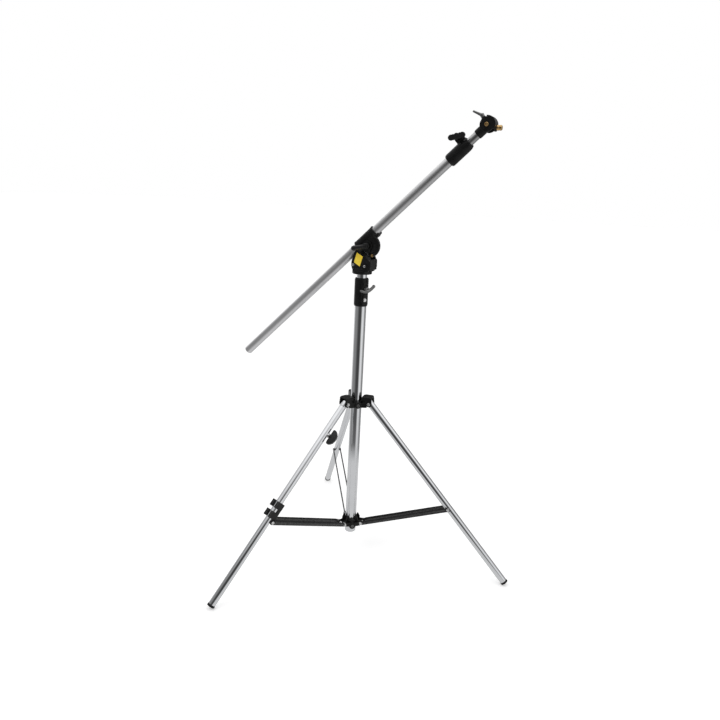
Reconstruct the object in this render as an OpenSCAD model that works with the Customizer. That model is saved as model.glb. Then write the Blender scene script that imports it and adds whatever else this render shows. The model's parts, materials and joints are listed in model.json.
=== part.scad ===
// Combination boom stand: tripod base with a levelling leg, telescopic column,
// tilting head and a telescopic boom that ends in a swivelling 16 mm spigot.
// Frame: Z is the column's axis, the floor is Z = 0, and the boom rises towards +X.

/* [Base] */
// Height of the leg pivots above the floor, stand set up
pivot_z = 601; // [590:1:605]
// Distance of the leg pivots from the column's axis
pivot_r = 53; // [53:1:56]
// Angle of each leg from vertical, stand set up
leg_tilt = 42.15; // [40:0.05:43]
// Outside diameter of the leg tubes
leg_d = 25; // [24:0.5:25]
// Wall of the leg tubes
leg_wall = 1.5; // [1.2:0.1:1.6]
// Distance from a leg's pivot to its brace bolt, along the leg
brace_at = 469; // [465:1:475]
// Height of the brace pivots on the bottom hub
hub_z = 126; // [124:1:130]
// Distance of the hub's pivots from the column's axis
hub_r = 46; // [45:1:48]
// Direction of the right-hand leg, counted from the boom's side
first_leg_az = 6; // [0:1:20]

/* [Levelling leg] */
// Distance from the pivot to the levelling knob, along the leg
knob_at = 127; // [120:1:135]
// Start of the levelling leg's lower guide, along the leg
guide_at = 406; // [404:1:410]
// Travel of the levelling leg
level_travel = 150; // [100:10:150]

/* [Column] */
// Outside diameter of the column tube
column_d = 40; // [40:0.5:41]
// Wall of the column tube
column_wall = 1.75; // [1.5:0.05:1.75]
// Height of the column's lower end above the floor
column_bottom = 83; // [80:1:86]
// Outside diameter of the riser tube
riser_d = 35; // [34.5:0.5:35]
// Height of the riser collar's lower edge
collar_z = 949; // [949:1:955]
// Height of the riser collar
collar_h = 98; // [96:1:100]

/* [Head] */
// Height where the boom's axis crosses the column's axis
cross_z = 1167; // [1165:1:1172]
// Rise of the boom above horizontal
boom_rise = 43.75; // [40:0.25:46]
// Distance of the tilt pivot from the column's axis, and of the boom's axis from the pivot
head_offset = 24; // [23:0.5:25]
// Radius of the head's drum
drum_r = 41; // [39:1:42]

/* [Boom] */
// Outside diameter of the boom tube
boom_d = 30; // [29.5:0.5:30]
// Length of boom below the column's axis
boom_low = 647; // [600:1:700]
// Start of the boom collar, counted up the boom from the column's axis
boom_collar_at = 383; // [370:1:390]
// Outside diameter of the extension tube
ext_d = 25; // [24:0.5:25]
// Distance of the tip's pivot from the column's axis, along the boom
tip_at = 537; // [530:1:545]
// Diameter of the spigot, a standard size
spigot_d = 15.88; // [15.8:0.02:15.9]

/* [Hidden] */
$fn = 64;

CHROME = [0.78, 0.79, 0.80];
SATIN = [0.82, 0.82, 0.83];
BLACK = [0.10, 0.10, 0.11];
BOLT = [0.75, 0.75, 0.74];
ZINC = [0.52, 0.52, 0.53];
BRASS = [0.80, 0.62, 0.28];
RUBBER = [0.06, 0.06, 0.06];

// Radial clearance of a part that turns or slides, and of one that is fixed in its seat
run = 0.06;
seat = 0.04;
// Overshoot that lets a cut pass cleanly through a face
over = 1;

column_r = column_d / 2;
column_top = collar_z + 54;
collar_top = collar_z + collar_h;
riser_r = riser_d / 2;
riser_low = 560;
riser_top = 1085;
riser_bore_r = 15.7;
leg_r = leg_d / 2;
boom_r = boom_d / 2;
ext_r = ext_d / 2;

leg_azs = [for (i = [0:2]) first_leg_az + 120 * i];
right_az = leg_azs[0];
rear_az = leg_azs[1];
left_az = leg_azs[2];
// The two castings' round bosses face the gap between the left and right legs
boss_az = left_az + 60;

// A leg tube ends this high above the floor, and its rubber foot reaches the floor
foot_end_z = 12.3;
foot_cap = 6;
foot_rim = 1.5;
foot_r = 13.1;
leg_len = (pivot_z - foot_end_z) / cos(leg_tilt);
// A plain leg's tube stands out past its pivot
leg_top = 9;

// Brace straps: flat strips on each side of the leg, turning on the hub's bolts
strap_h = 15;
strap_t = 2.5;
strap_in = 13.4;
strap_in_left = 17.4;
rivet_r = 3;
bolt_r = 4;
// Brace bolt's place beside the leg's axis: on the axis for the plain legs, below it for the levelling leg
left_brace_at = brace_at + 6.3;
left_brace_off = 9.3;

// Rise and length of a brace whose outer bolt is "along" down the leg and "off" below its axis
function bolt_out(along, off) = pivot_r + along * sin(leg_tilt) - off * cos(leg_tilt) - hub_r;
function bolt_up(along, off) = pivot_z - along * cos(leg_tilt) - off * sin(leg_tilt) - hub_z;
function brace_rise(along, off) = atan2(bolt_up(along, off), bolt_out(along, off));
function brace_len(along, off) = norm([bolt_out(along, off), bolt_up(along, off)]);

// Tilt pivot: the boom's axis passes it at head_offset, and lines up with the column when upright
tilt_x = head_offset;
tilt_z = cross_z - head_offset * (1 - sin(boom_rise)) / cos(boom_rise);
tilt_r = 6;
cheek_in = 19.5;
cheek_out = 25;
cheek_face = 28.5;
drum_half = 18;
// The drum narrows from its rim to its back
drum_rim_at = 8;
drum_back_r = 29;
sleeve_r = 19;
sleeve_low = -25;
sleeve_high = 58;
sleeve_lock_at = 50;

// Boom collar and its clamp
boom_collar_end = boom_collar_at + 84;
boom_high = boom_collar_at + 57;
boom_bore_r = boom_r - 1.5;
clamp_at = boom_collar_at + 68;
clamp_up = 34;

// Tip
barrel_at = tip_at - 41;
barrel_end = tip_at + 11;
ext_low = 180;
ext_end = tip_at - 16;
plate_in = 15.4;
plate_out = 20;
plate_r = 21.5;
web_in = 19.2;
web_out = 26;
spigot_drop = 8;
lever_az = 84;

// Frames: along a leg (Z down the leg, X to its underside), along a brace (X outwards), along the boom
module on_leg(az) {
  rotate([0, 0, az]) translate([pivot_r, 0, pivot_z]) rotate([0, 180 - leg_tilt, 0]) children();
}

module on_brace(az, along, off) {
  rotate([0, 0, az]) translate([hub_r, 0, hub_z]) rotate([0, -brace_rise(along, off), 0]) children();
}

module on_boom() {
  translate([0, 0, cross_z]) rotate([0, -boom_rise, 0]) children();
}

module at_tilt() {
  translate([tilt_x, 0, tilt_z]) rotate([90, 0, 0]) children();
}

// A cylinder lying along X, and one lying along Y and centred on it
module rod_x(r, from, to) {
  translate([from, 0, 0]) rotate([0, 90, 0]) cylinder(r = r, h = to - from);
}

module rod_y(r, from, to) {
  translate([0, to, 0]) rotate([90, 0, 0]) cylinder(r = r, h = to - from);
}

module tube(r, wall, low, high) {
  translate([0, 0, low]) difference() {
    cylinder(r = r, h = high - low);
    translate([0, 0, -over]) cylinder(r = r - wall, h = high - low + 2 * over);
  }
}

// A plate drawn in the X-Z plane, from Y = from to Y = to
module plate_xz(from, to) {
  translate([0, to, 0]) rotate([90, 0, 0]) linear_extrude(to - from) children();
}

// The same plate on both sides of the X-Z plane
module plates_xz(near, far) {
  plate_xz(near, far) children();
  plate_xz(-far, -near) children();
}

module hex_head(r, h) {
  cylinder(r = r, h = h, $fn = 6);
}

// ---- Column ----

module column_tube() {
  color(CHROME) tube(column_r, column_wall, column_bottom, column_top);
}

// End plug with a domed rim that closes the column's lower end
module column_plug() {
  rim_h = 3;
  color(SATIN) {
    translate([0, 0, column_bottom - rim_h]) cylinder(r1 = column_r - 3, r2 = column_r, h = rim_h);
    translate([0, 0, column_bottom]) cylinder(r = column_r - column_wall - seat, h = 16);
  }
}

// ---- Bottom hub, fixed to the column ----

hub_plate_in = 9;
hub_plate_out = 13;

module hub_arm() {
  plates_xz(hub_plate_in, hub_plate_out) {
    translate([hub_r, hub_z]) circle(r = 9);
    polygon([[15, hub_z - 12], [hub_r, hub_z - 9], [hub_r + 9, hub_z], [hub_r, hub_z + 9],
             [hub_r - 12, hub_z + 12], [26, hub_z + 27], [22, hub_z + 27], [15, hub_z + 16]]);
  }
}

module casting_boss(z, low, high, r) {
  rotate([0, 0, boss_az]) translate([0, 0, z]) rod_x(r, low, high);
}

module hub_casting() {
  boss_z = hub_z - 8;
  color(BLACK) difference() {
    union() {
      translate([0, 0, hub_z - 13]) cylinder(r = 27, h = 21);
      for (az = leg_azs) rotate([0, 0, az]) hub_arm();
      casting_boss(boss_z, 15, 40, 12);
    }
    translate([0, 0, hub_z - 40]) cylinder(r = column_r + seat, h = 90);
    for (az = leg_azs) rotate([0, 0, az]) translate([hub_r, 0, hub_z]) rod_y(bolt_r + seat, -40, 40);
    casting_boss(boss_z, 0, 41, bolt_r + seat);
    casting_boss(boss_z, 38, 41, 5.6);
  }
}

module socket_screw(z, low) {
  casting_boss(z, low, 38.1, bolt_r);
  rotate([0, 0, boss_az]) translate([0, 0, z]) difference() {
    rod_x(5.5, 38.1, 42);
    translate([39.5, 0, 0]) rotate([0, 90, 0]) hex_head(3, 4);
  }
}

module hub_set_screw() {
  color(ZINC) socket_screw(hub_z - 8, column_r + 0.1);
}

// Bolts through the hub's plates, with a head outside each strap
module pivot_bolt(half, r) {
  rod_y(bolt_r, -half, half);
  rod_y(r, half - 0.5, half + 3.5);
  rod_y(r, -half - 3.5, -half + 0.5);
}

module hub_pivot_bolts() {
  color(BOLT) for (az = leg_azs) {
    half = (az == left_az ? strap_in_left : strap_in) + strap_t + 0.6;
    rotate([0, 0, az]) translate([hub_r, 0, hub_z]) pivot_bolt(half, 5.5);
  }
}

// Washers that space the levelling leg's wider straps off the hub
module brace_spacers() {
  color(BOLT) rotate([0, 0, left_az]) translate([hub_r, 0, hub_z]) for (s = [-1, 1]) {
    mid = s * (hub_plate_out + strap_in_left) / 2;
    half = (strap_in_left - hub_plate_out) / 2 - 0.05;
    difference() {
      rod_y(7, mid - half, mid + half);
      rod_y(bolt_r + seat, mid - half - over, mid + half + over);
    }
  }
}

// ---- Crown, sliding on the column ----

crown_gap = 13.3;
crown_cheek_out = 18.5;
crown_reach = pivot_r + 9;
hood_z = pivot_z + 20;
hood_top = pivot_z + 25;

module crown_arm() {
  plates_xz(crown_gap, crown_cheek_out) {
    translate([pivot_r, pivot_z]) circle(r = 11);
    polygon([[15, pivot_z - 11], [pivot_r, pivot_z - 11], [pivot_r + 11, pivot_z], [crown_reach, hood_top],
             [28, hood_top], [26, pivot_z + 5], [15, pivot_z + 5]]);
  }
  translate([28, -crown_cheek_out, hood_z])
    cube([crown_reach - 28, 2 * crown_cheek_out, hood_top - hood_z]);
}

module crown_casting() {
  boss_z = pivot_z - 5;
  color(BLACK) difference() {
    union() {
      translate([0, 0, pivot_z - 15]) cylinder(r = 27, h = 20);
      for (az = leg_azs) rotate([0, 0, az]) crown_arm();
      casting_boss(boss_z, 15, 40, 11.5);
    }
    translate([0, 0, pivot_z - 30]) cylinder(r = column_r + run, h = 70);
    for (az = leg_azs) rotate([0, 0, az]) translate([pivot_r, 0, pivot_z]) rod_y(bolt_r + seat, -40, 40);
    casting_boss(boss_z, 0, 41, bolt_r + run);
    casting_boss(boss_z, 38, 41, 5.6);
  }
}

module crown_lock_screw() {
  color(ZINC) socket_screw(pivot_z - 5, column_r + 0.5);
}

module crown_pivot_bolts() {
  color(BOLT) for (az = leg_azs)
    rotate([0, 0, az]) translate([pivot_r, 0, pivot_z]) pivot_bolt(crown_cheek_out + 0.6, 5);
}

// ---- Plain legs ----

module leg_tube_plain(az) {
  color(CHROME) on_leg(az) difference() {
    tube(leg_r, leg_wall, -leg_top, leg_len);
    rod_y(bolt_r + run, -leg_r - over, leg_r + over);
  }
}

// Rubber foot: a plug inside the tube and a cap around its end, cut flat where it meets the floor
module foot(az) {
  color(RUBBER) intersection() {
    on_leg(az) difference() {
      union() {
        translate([0, 0, leg_len - 14]) cylinder(r = leg_r - leg_wall / 2, h = 15);
        translate([0, 0, leg_len - foot_rim]) cylinder(r = foot_r, h = foot_rim + foot_cap);
      }
      translate([0, 0, leg_len - 14 - over]) difference() {
        cylinder(r = leg_r + seat, h = 14 + over);
        cylinder(r = leg_r - leg_wall - seat, h = 14 + over);
      }
    }
    translate([-1000, -1000, 0]) cube([2000, 2000, 100]);
  }
}

// ---- Levelling leg ----

rail_r = leg_r - leg_wall - run;
rail_wall = 1.9;
rail_end = 500;
leg_left_top = 14;
guide_len = 60;
saddle_len = 24;
slot_w = 9;
guide_bolt_at = [guide_at + 14, guide_at + 48];

// Inner rail that hangs from the crown; its top plug is as wide as the leg tube
module levelling_rail() {
  color(CHROME) on_leg(left_az) difference() {
    union() {
      tube(rail_r, rail_wall, 0, rail_end);
      translate([0, 0, -leg_top]) cylinder(r = leg_r, h = leg_left_top + leg_top - 0.5);
    }
    rod_y(bolt_r + run, -leg_r - over, leg_r + over);
    for (z = guide_bolt_at) translate([0, 0, z]) rod_x(bolt_r + seat, 0, leg_r);
  }
}

// Two saddles on a spine, and side plates that carry the open brace pivot
module levelling_guide() {
  wall_out = 17;
  lip_at = -19;
  lip_half = 10;
  module saddle(z) translate([lip_at, -wall_out, z]) cube([wall_out - lip_at, 2 * wall_out, saddle_len]);
  color(BLACK) on_leg(left_az) difference() {
    union() {
      saddle(guide_at);
      saddle(guide_at + guide_len - saddle_len);
      translate([4, -wall_out, guide_at]) cube([13, 2 * wall_out, guide_len]);
      plates_xz(leg_r + 0.5, wall_out) {
        translate([left_brace_off, left_brace_at]) circle(r = 8);
        polygon([[4, guide_at + 30], [17, guide_at + 30], [17, left_brace_at],
                 [left_brace_off - 8, left_brace_at], [0, guide_at + 50]]);
      }
    }
    translate([0, 0, guide_at - 20]) cylinder(r = leg_r + run, h = 120);
    translate([lip_at - over, -lip_half, guide_at - 20]) cube([-lip_at, 2 * lip_half, 120]);
    for (z = guide_bolt_at) translate([0, 0, z]) rod_x(bolt_r + seat, 0, 20);
  }
}

// Bolts from the guide's spine, through the leg tube's slot, into the rail
module guide_bolts() {
  color(BOLT) on_leg(left_az) for (z = guide_bolt_at) translate([0, 0, z]) {
    rod_x(bolt_r, 8.5, 17.2);
    rod_x(6.5, 17.1, 20);
  }
}

// Sliding leg tube, slotted underneath where the guide's bolts pass
module leg_tube_left() {
  slot_low = guide_bolt_at[0] - level_travel;
  slot_high = guide_bolt_at[1];
  color(CHROME) on_leg(left_az) difference() {
    tube(leg_r, leg_wall, leg_left_top, leg_len);
    translate([0, -slot_w / 2, slot_low]) cube([leg_r + over, slot_w, slot_high - slot_low]);
    for (z = [slot_low, slot_high]) translate([0, 0, z]) rod_x(slot_w / 2, 0, leg_r + over);
    at_level_knob() rod_x(bolt_r + seat, 0, leg_r + over);
  }
}

// The knob's screw stands between the leg's underside and the side that faces the front
level_knob_turn = 60;

module at_level_knob() {
  translate([0, 0, knob_at]) rotate([0, 0, level_knob_turn]) children();
}

module levelling_boss() {
  color(BOLT) on_leg(left_az) at_level_knob() difference() {
    rod_x(8, 8, 19);
    cylinder(r = leg_r + 0.02, h = 40, center = true);
    rod_x(bolt_r + run, 0, 20);
  }
}

module levelling_knob() {
  paddle_r = 29;
  paddle_low = 21;
  paddle_top = 48;
  color(BLACK) on_leg(left_az) at_level_knob() {
    rod_x(bolt_r, rail_r + 0.2, 24);
    intersection() {
      translate([paddle_top - paddle_r, 0, 0]) rod_y(paddle_r, -7, 7);
      translate([paddle_low, -10, -30]) cube([40, 20, 60]);
    }
  }
}

// ---- Braces ----

module strap(len) {
  difference() {
    union() {
      circle(r = strap_h / 2);
      translate([len, 0]) circle(r = strap_h / 2);
      translate([0, -strap_h / 2]) square([len, strap_h]);
    }
    circle(r = bolt_r + run);
    translate([len, 0]) circle(r = rivet_r + seat);
  }
}

module brace(az, along, off, inner) {
  len = brace_len(along, off);
  color(BLACK) on_brace(az, along, off) plates_xz(inner, inner + strap_t) strap(len);
}

// Stub rivets at the brace's outer end; they stop short of the leg, where the linkage is open
module brace_rivets(az, along, off, inner) {
  face = inner + strap_t;
  color(BOLT) on_brace(az, along, off) translate([brace_len(along, off), 0, 0]) {
    rod_y(rivet_r, inner - 0.2, face + 0.5);
    rod_y(6, face + 0.1, face + 2.2);
    rod_y(rivet_r, -face - 0.5, -inner + 0.2);
    rod_y(6, -face - 2.2, -face - 0.1);
  }
}

// ---- Riser and its collar ----

clamp_az = -36;
clamp_z = collar_z + 63;

module at_clamp(z) {
  rotate([0, 0, clamp_az]) translate([0, 0, z]) children();
}

module riser_collar() {
  r = 24;
  edge = 4;
  color(BLACK) difference() {
    union() {
      translate([0, 0, collar_z]) cylinder(r1 = r - edge + 1, r2 = r, h = edge);
      translate([0, 0, collar_z + edge]) cylinder(r = r, h = collar_h - 2 * edge);
      translate([0, 0, collar_top - edge]) cylinder(r1 = r, r2 = r - edge + 1, h = edge);
      at_clamp(0) translate([14, -11, collar_z + 18]) cube([13.5, 22, collar_h - 24]);
      at_clamp(clamp_z) rod_x(9, 14, 30);
    }
    translate([0, 0, collar_z - over]) cylinder(r = column_r + seat, h = column_top + 0.2 - collar_z + over);
    translate([0, 0, collar_z]) cylinder(r = riser_r + run, h = collar_h + over);
    at_clamp(clamp_z) rod_x(bolt_r + run, 0, 31);
    at_clamp(collar_z + 24) rod_x(3 + seat, 22, 30);
  }
}

module riser_collar_bolt() {
  color(BOLT) at_clamp(collar_z + 24) {
    rod_x(3, 22.5, 28);
    translate([27.6, 0, 0]) rotate([0, 90, 0]) hex_head(5, 3);
  }
}

module riser_clamp_screw() {
  color(BOLT) at_clamp(clamp_z) rod_x(bolt_r, riser_r + 0.2, 40);
}

// Bent wing handle on the clamp screw
module riser_clamp_handle() {
  wing_tilt = 17;
  wing_half = 26;
  color(ZINC) at_clamp(clamp_z) difference() {
    union() {
      rod_x(7, 31, 46);
      translate([44, 0, 0]) rotate([wing_tilt, 0, 0]) {
        rod_y(4.5, -wing_half, wing_half);
        for (s = [-1, 1]) translate([0, s * wing_half, 0]) sphere(r = 4.5);
      }
    }
    rod_x(bolt_r + seat, 30, 40.1);
  }
}

// Nylon bush that guides the riser's lower end and lets the riser turn
module riser_bush() {
  bush_r = column_r - column_wall - run;
  color(SATIN) difference() {
    translate([0, 0, riser_low - 10]) cylinder(r = bush_r, h = 30);
    translate([0, 0, riser_low - 0.1]) cylinder(r = riser_r + run, h = 40);
    translate([0, 0, riser_low - 20]) cylinder(r = riser_bore_r, h = 40);
  }
}

module riser_tube() {
  color(CHROME) tube(riser_r, riser_r - riser_bore_r, riser_low, riser_top);
}

// ---- Tilting head ----

yoke_low = 1060;
base_h = 19;
base_r = 34;
yoke_screw_at = [[-22, 1091], [20, 1089]];

// Cheek outline: a foot on the base, a waist beside the drum's rim, and an eye around the tilt bolt
module cheek_eye() {
  eye_r = 17;
  translate([tilt_x, tilt_z]) circle(r = eye_r);
  polygon([[-21, 1069], [-28, 1082], [-30, 1100], [-21, 1132], [tilt_x - eye_r, tilt_z + 2],
           [tilt_x + eye_r - 3, tilt_z - 6], [31, 1132], [42, 1107], [42, 1085], [32, 1069]]);
}

module cheek_shoulder() {
  polygon([[-21, 1069], [-28, 1082], [-30, 1100], [-21, 1132], [-12, 1143], [-4.5, 1144],
           [42, 1107], [42, 1085], [32, 1069]]);
}

module yoke() {
  // End wall that joins the cheeks below the drum
  wall_h = 34;
  color(BLACK) difference() {
    union() {
      translate([0, 0, yoke_low]) cylinder(r1 = base_r - 2, r2 = base_r, h = 4);
      translate([0, 0, yoke_low + 4]) cylinder(r = base_r, h = base_h - 4);
      plates_xz(cheek_in, cheek_out) cheek_eye();
      plates_xz(cheek_out - 0.5, cheek_face) cheek_shoulder();
      translate([30, -cheek_in - 0.5, yoke_low + base_h - 1]) cube([10, 2 * cheek_in + 1, wall_h]);
    }
    translate([0, 0, yoke_low - over]) cylinder(r = riser_r + seat, h = base_h + 2 * over);
    translate([-40, -16.5, yoke_low + 10]) cube([17.5, 33, base_h]);
    at_tilt() cylinder(r = tilt_r + seat, h = 80, center = true);
    for (p = yoke_screw_at) translate([p[0], 0, p[1]]) {
      rod_y(2.5 + seat, -cheek_face - over, -cheek_in - 1);
      rod_y(2.5 + seat, cheek_in + 1, cheek_face + over);
    }
  }
}

module yoke_screws() {
  color(BOLT) for (p = yoke_screw_at) translate([p[0], 0, p[1]]) for (s = [-1, 1]) {
    mid = s * (cheek_in + cheek_face + 3) / 2;
    rod_y(2.5, mid - 3.5, mid + 3.5);
    rod_y(4.5, s * (cheek_face + 1.2) - 1.1, s * (cheek_face + 1.2) + 1.1);
  }
}

// Plain yellow plate on the front cheek
module rating_label() {
  color([0.93, 0.78, 0.18]) plate_xz(-cheek_face - 0.7, -cheek_face - 0.1)
    polygon([[-9.5, 1133], [13, 1121], [3, 1087], [-19, 1100]]);
}

module tilt_bolt() {
  color(BOLT) at_tilt() {
    translate([0, 0, -cheek_out - 7]) hex_head(10, 6.9);
    translate([0, 0, -cheek_out - 1]) cylinder(r = tilt_r, h = 2 * cheek_out + 14);
  }
}

module friction_discs() {
  color(BRASS) for (s = [-1, 1]) at_tilt() translate([0, 0, s * (cheek_in + drum_half) / 2]) difference() {
    cylinder(r = 16, h = 1.3, center = true);
    cylinder(r = tilt_r + run, h = 4, center = true);
  }
}

// Brass plug in the drum's front face, beside the cheek's waist
drum_pin_r = 5;

module at_drum_pin() {
  translate([tilt_x + 17, 0, tilt_z - 31.3]) children();
}

module drum_pin() {
  color(BRASS) at_drum_pin() rod_y(drum_pin_r, -drum_half - 0.4, -12);
}

module tilt_handle() {
  reach = 42;
  droop = 13;
  color(BLACK) at_tilt() difference() {
    union() {
      translate([0, 0, cheek_out + 0.4]) cylinder(r = 10, h = 22);
      rotate([0, 0, 180 + droop]) translate([0, 0, cheek_out + 18]) {
        rod_x(6, 0, reach);
        translate([reach, 0, 0]) sphere(r = 7.5);
      }
    }
    translate([0, 0, 20]) cylinder(r = tilt_r + run, h = cheek_out - 20 + 13.2);
  }
}

// Drum and boom sleeve, one casting
module boom_sleeve() {
  color(BLACK) difference() {
    union() {
      difference() {
        at_tilt() translate([0, 0, drum_rim_at]) cylinder(r = drum_r, h = drum_half - drum_rim_at);
        at_tilt() translate([0, 0, -drum_half])
          cylinder(r1 = drum_back_r, r2 = drum_r, h = drum_half + drum_rim_at);
        on_boom() translate([-100, -50, 0]) cube([200, 100, 100]);
      }
      on_boom() rod_x(sleeve_r, sleeve_low, sleeve_high);
    }
    at_drum_pin() rod_y(drum_pin_r + seat, -30, -11.9);
    on_boom() rod_x(boom_r + run, sleeve_low - 60, sleeve_high + 60);
    at_tilt() cylinder(r = tilt_r + run, h = 60, center = true);
    on_boom() translate([sleeve_lock_at, 0, 0]) rod_y(3 + run, 0, 30);
  }
}

module boom_lock_knob() {
  color(BLACK) on_boom() translate([sleeve_lock_at, 0, 0]) {
    rod_y(3, boom_r + 0.2, 26);
    rod_y(14, 24, 38);
  }
}

// ---- Boom ----

module boom_tube() {
  color(SATIN) on_boom() difference() {
    rod_x(boom_r, -boom_low + 3, boom_high);
    rod_x(boom_bore_r, -boom_low, boom_high + 10);
  }
}

module boom_end_cap() {
  color(SATIN) on_boom() {
    translate([-boom_low, 0, 0]) rotate([0, 90, 0]) cylinder(r1 = boom_r - 2, r2 = boom_r, h = 2.9);
    rod_x(boom_bore_r - seat, -boom_low + 2.5, -boom_low + 20);
  }
}

module boom_collar() {
  r = 21;
  edge = 4;
  color(BLACK) on_boom() difference() {
    union() {
      translate([boom_collar_at, 0, 0]) rotate([0, 90, 0]) cylinder(r1 = r - edge + 1, r2 = r, h = edge);
      rod_x(r, boom_collar_at + edge, boom_collar_end);
      translate([clamp_at - 15, -10, 10]) cube([30, 20, clamp_up]);
    }
    rod_x(boom_r + seat, boom_collar_at - over, boom_high + 0.2);
    rod_x(ext_r + run, boom_collar_at, boom_collar_end + over);
    translate([clamp_at - 22, -1, 0]) cube([60, 2, 60]);
    translate([clamp_at, 0, clamp_up]) rod_y(3 + run, -20, 20);
  }
}

module extension_clamp_nut() {
  color(BOLT) on_boom() translate([clamp_at, 0, clamp_up]) difference() {
    translate([0, 15, 0]) rotate([90, 0, 0]) hex_head(6, 4.9);
    rod_y(3 + run, 0, 20);
  }
}

// Lobed bar knob; its lobes turn clear of the collar's barrel
module extension_knob() {
  knob_turn = 30;
  lobe_near = -33;
  lobe_far = -21.6;
  color(BLACK) on_boom() translate([clamp_at, 0, clamp_up]) {
    rod_y(3, -30, 14);
    rotate([0, knob_turn, 0]) {
      rod_y(9.5, lobe_near, -10.3);
      for (s = [-1, 1]) {
        translate([s * 12, 0, 0]) rod_y(9, lobe_near, lobe_far);
        translate([s * 18, 0, 0]) rod_y(8.5, lobe_near, lobe_far);
      }
    }
  }
}

module extension_bush() {
  color(SATIN) on_boom() difference() {
    rod_x(boom_bore_r - run, ext_low, ext_low + 25);
    rod_x(ext_r + seat, ext_low - over, ext_low + 30);
  }
}

module extension_tube() {
  color(CHROME) on_boom() difference() {
    rod_x(ext_r, ext_low, ext_end);
    rod_x(ext_r - 1.5, ext_low - over, ext_end + over);
  }
}

// ---- Tip ----

module at_tip() {
  on_boom() translate([tip_at, 0, 0]) children();
}

module tip_barrel() {
  color(BLACK) on_boom() difference() {
    rod_x(boom_r, barrel_at, barrel_end);
    rod_x(ext_r + seat, barrel_at - over, ext_end + 0.1);
    translate([tip_at, 0, 0]) rod_y(5 + seat, -20, 20);
  }
}

module tip_bolt() {
  color(BRASS) at_tip() {
    rod_y(5, -plate_out, plate_out + 3);
    rod_y(8, -plate_out - 3.5, -plate_out - 0.1);
    rod_y(9, plate_out + 0.1, plate_out + 4);
  }
}

// Ring sector between two angles, up to 180 degrees apart
module sector(r_in, r_out, from, to) {
  far = 2 * r_out;
  difference() {
    circle(r = r_out);
    circle(r = r_in);
    polygon([[0, 0], far * [cos(to), sin(to)], far * [cos(to + 60), sin(to + 60)],
             far * [cos((from + to) / 2 + 180), sin((from + to) / 2 + 180)],
             far * [cos(from - 60), sin(from - 60)], far * [cos(from), sin(from)]]);
  }
}

// U-shaped bracket: two round plates outside the barrel, joined by a web around its end
module spigot_holder() {
  color(BLACK) at_tip() difference() {
    union() {
      plates_xz(plate_in, plate_out) circle(r = plate_r);
      plate_xz(-plate_out, plate_out) sector(web_in, web_out, -75, 50);
      plate_xz(-plate_out, plate_out) sector(web_in, plate_r + 1, 49, 99);
      spigot_axis() rod_x(11, 20, 26.5);
    }
    rod_y(5 + run, -30, 30);
    spigot_axis() rod_x(6 + seat, 0, 40);
    rotate([0, -lever_az, 0]) rod_x(3 + run, 10, 40);
  }
}

// The spigot lies level, a little below the tip's pivot
module spigot_axis() {
  rotate([0, boom_rise, 0]) translate([0, 0, -spigot_drop]) children();
}

module spigot() {
  color(BRASS) at_tip() spigot_axis() difference() {
    union() {
      rod_x(6, 19, 31);
      rod_x(spigot_d / 2, 28, 41);
      translate([41, 0, 0]) rotate([0, 90, 0]) cylinder(r1 = spigot_d / 2, r2 = spigot_d / 2 - 2, h = 2);
    }
  }
}

// Cranked lever that clamps the bracket
module spigot_lever() {
  color(ZINC) at_tip() rotate([0, -lever_az, 0]) {
    rod_x(3, 20.2, 30);
    rod_x(6, 26.2, 38);
    translate([34, 0, 0]) rotate([0, -30, 0]) rod_x(3.5, 0, 31);
  }
}

column_tube();
column_plug();
hub_casting();
hub_set_screw();
hub_pivot_bolts();
brace_spacers();
crown_casting();
crown_lock_screw();
crown_pivot_bolts();
leg_tube_plain(right_az);  // leg_tube_right
foot(right_az);  // foot_right
leg_tube_plain(rear_az);  // leg_tube_rear
foot(rear_az);  // foot_rear
levelling_rail();
levelling_guide();
guide_bolts();
leg_tube_left();
foot(left_az);  // foot_left
levelling_boss();
levelling_knob();
brace(right_az, brace_at, 0, strap_in);  // brace_right
brace_rivets(right_az, brace_at, 0, strap_in);  // brace_rivets_right
brace(rear_az, brace_at, 0, strap_in);  // brace_rear
brace_rivets(rear_az, brace_at, 0, strap_in);  // brace_rivets_rear
brace(left_az, left_brace_at, left_brace_off, strap_in_left);  // brace_left
brace_rivets(left_az, left_brace_at, left_brace_off, strap_in_left);  // brace_rivets_left
riser_collar();
riser_collar_bolt();
riser_clamp_screw();
riser_clamp_handle();
riser_bush();
riser_tube();
yoke();
yoke_screws();
rating_label();
tilt_bolt();
friction_discs();
drum_pin();
tilt_handle();
boom_sleeve();
boom_lock_knob();
boom_tube();
boom_end_cap();
boom_collar();
extension_clamp_nut();
extension_knob();
extension_bush();
extension_tube();
tip_barrel();
tip_bolt();
spigot_holder();
spigot();
spigot_lever();
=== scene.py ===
# Looks of the combination boom stand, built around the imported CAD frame.
# Shapes are drawn in millimetres in a local frame, and placed in the CAD's frame in metres.

import json
import math

import bmesh
import bpy
from mathutils import Matrix, Vector


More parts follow.
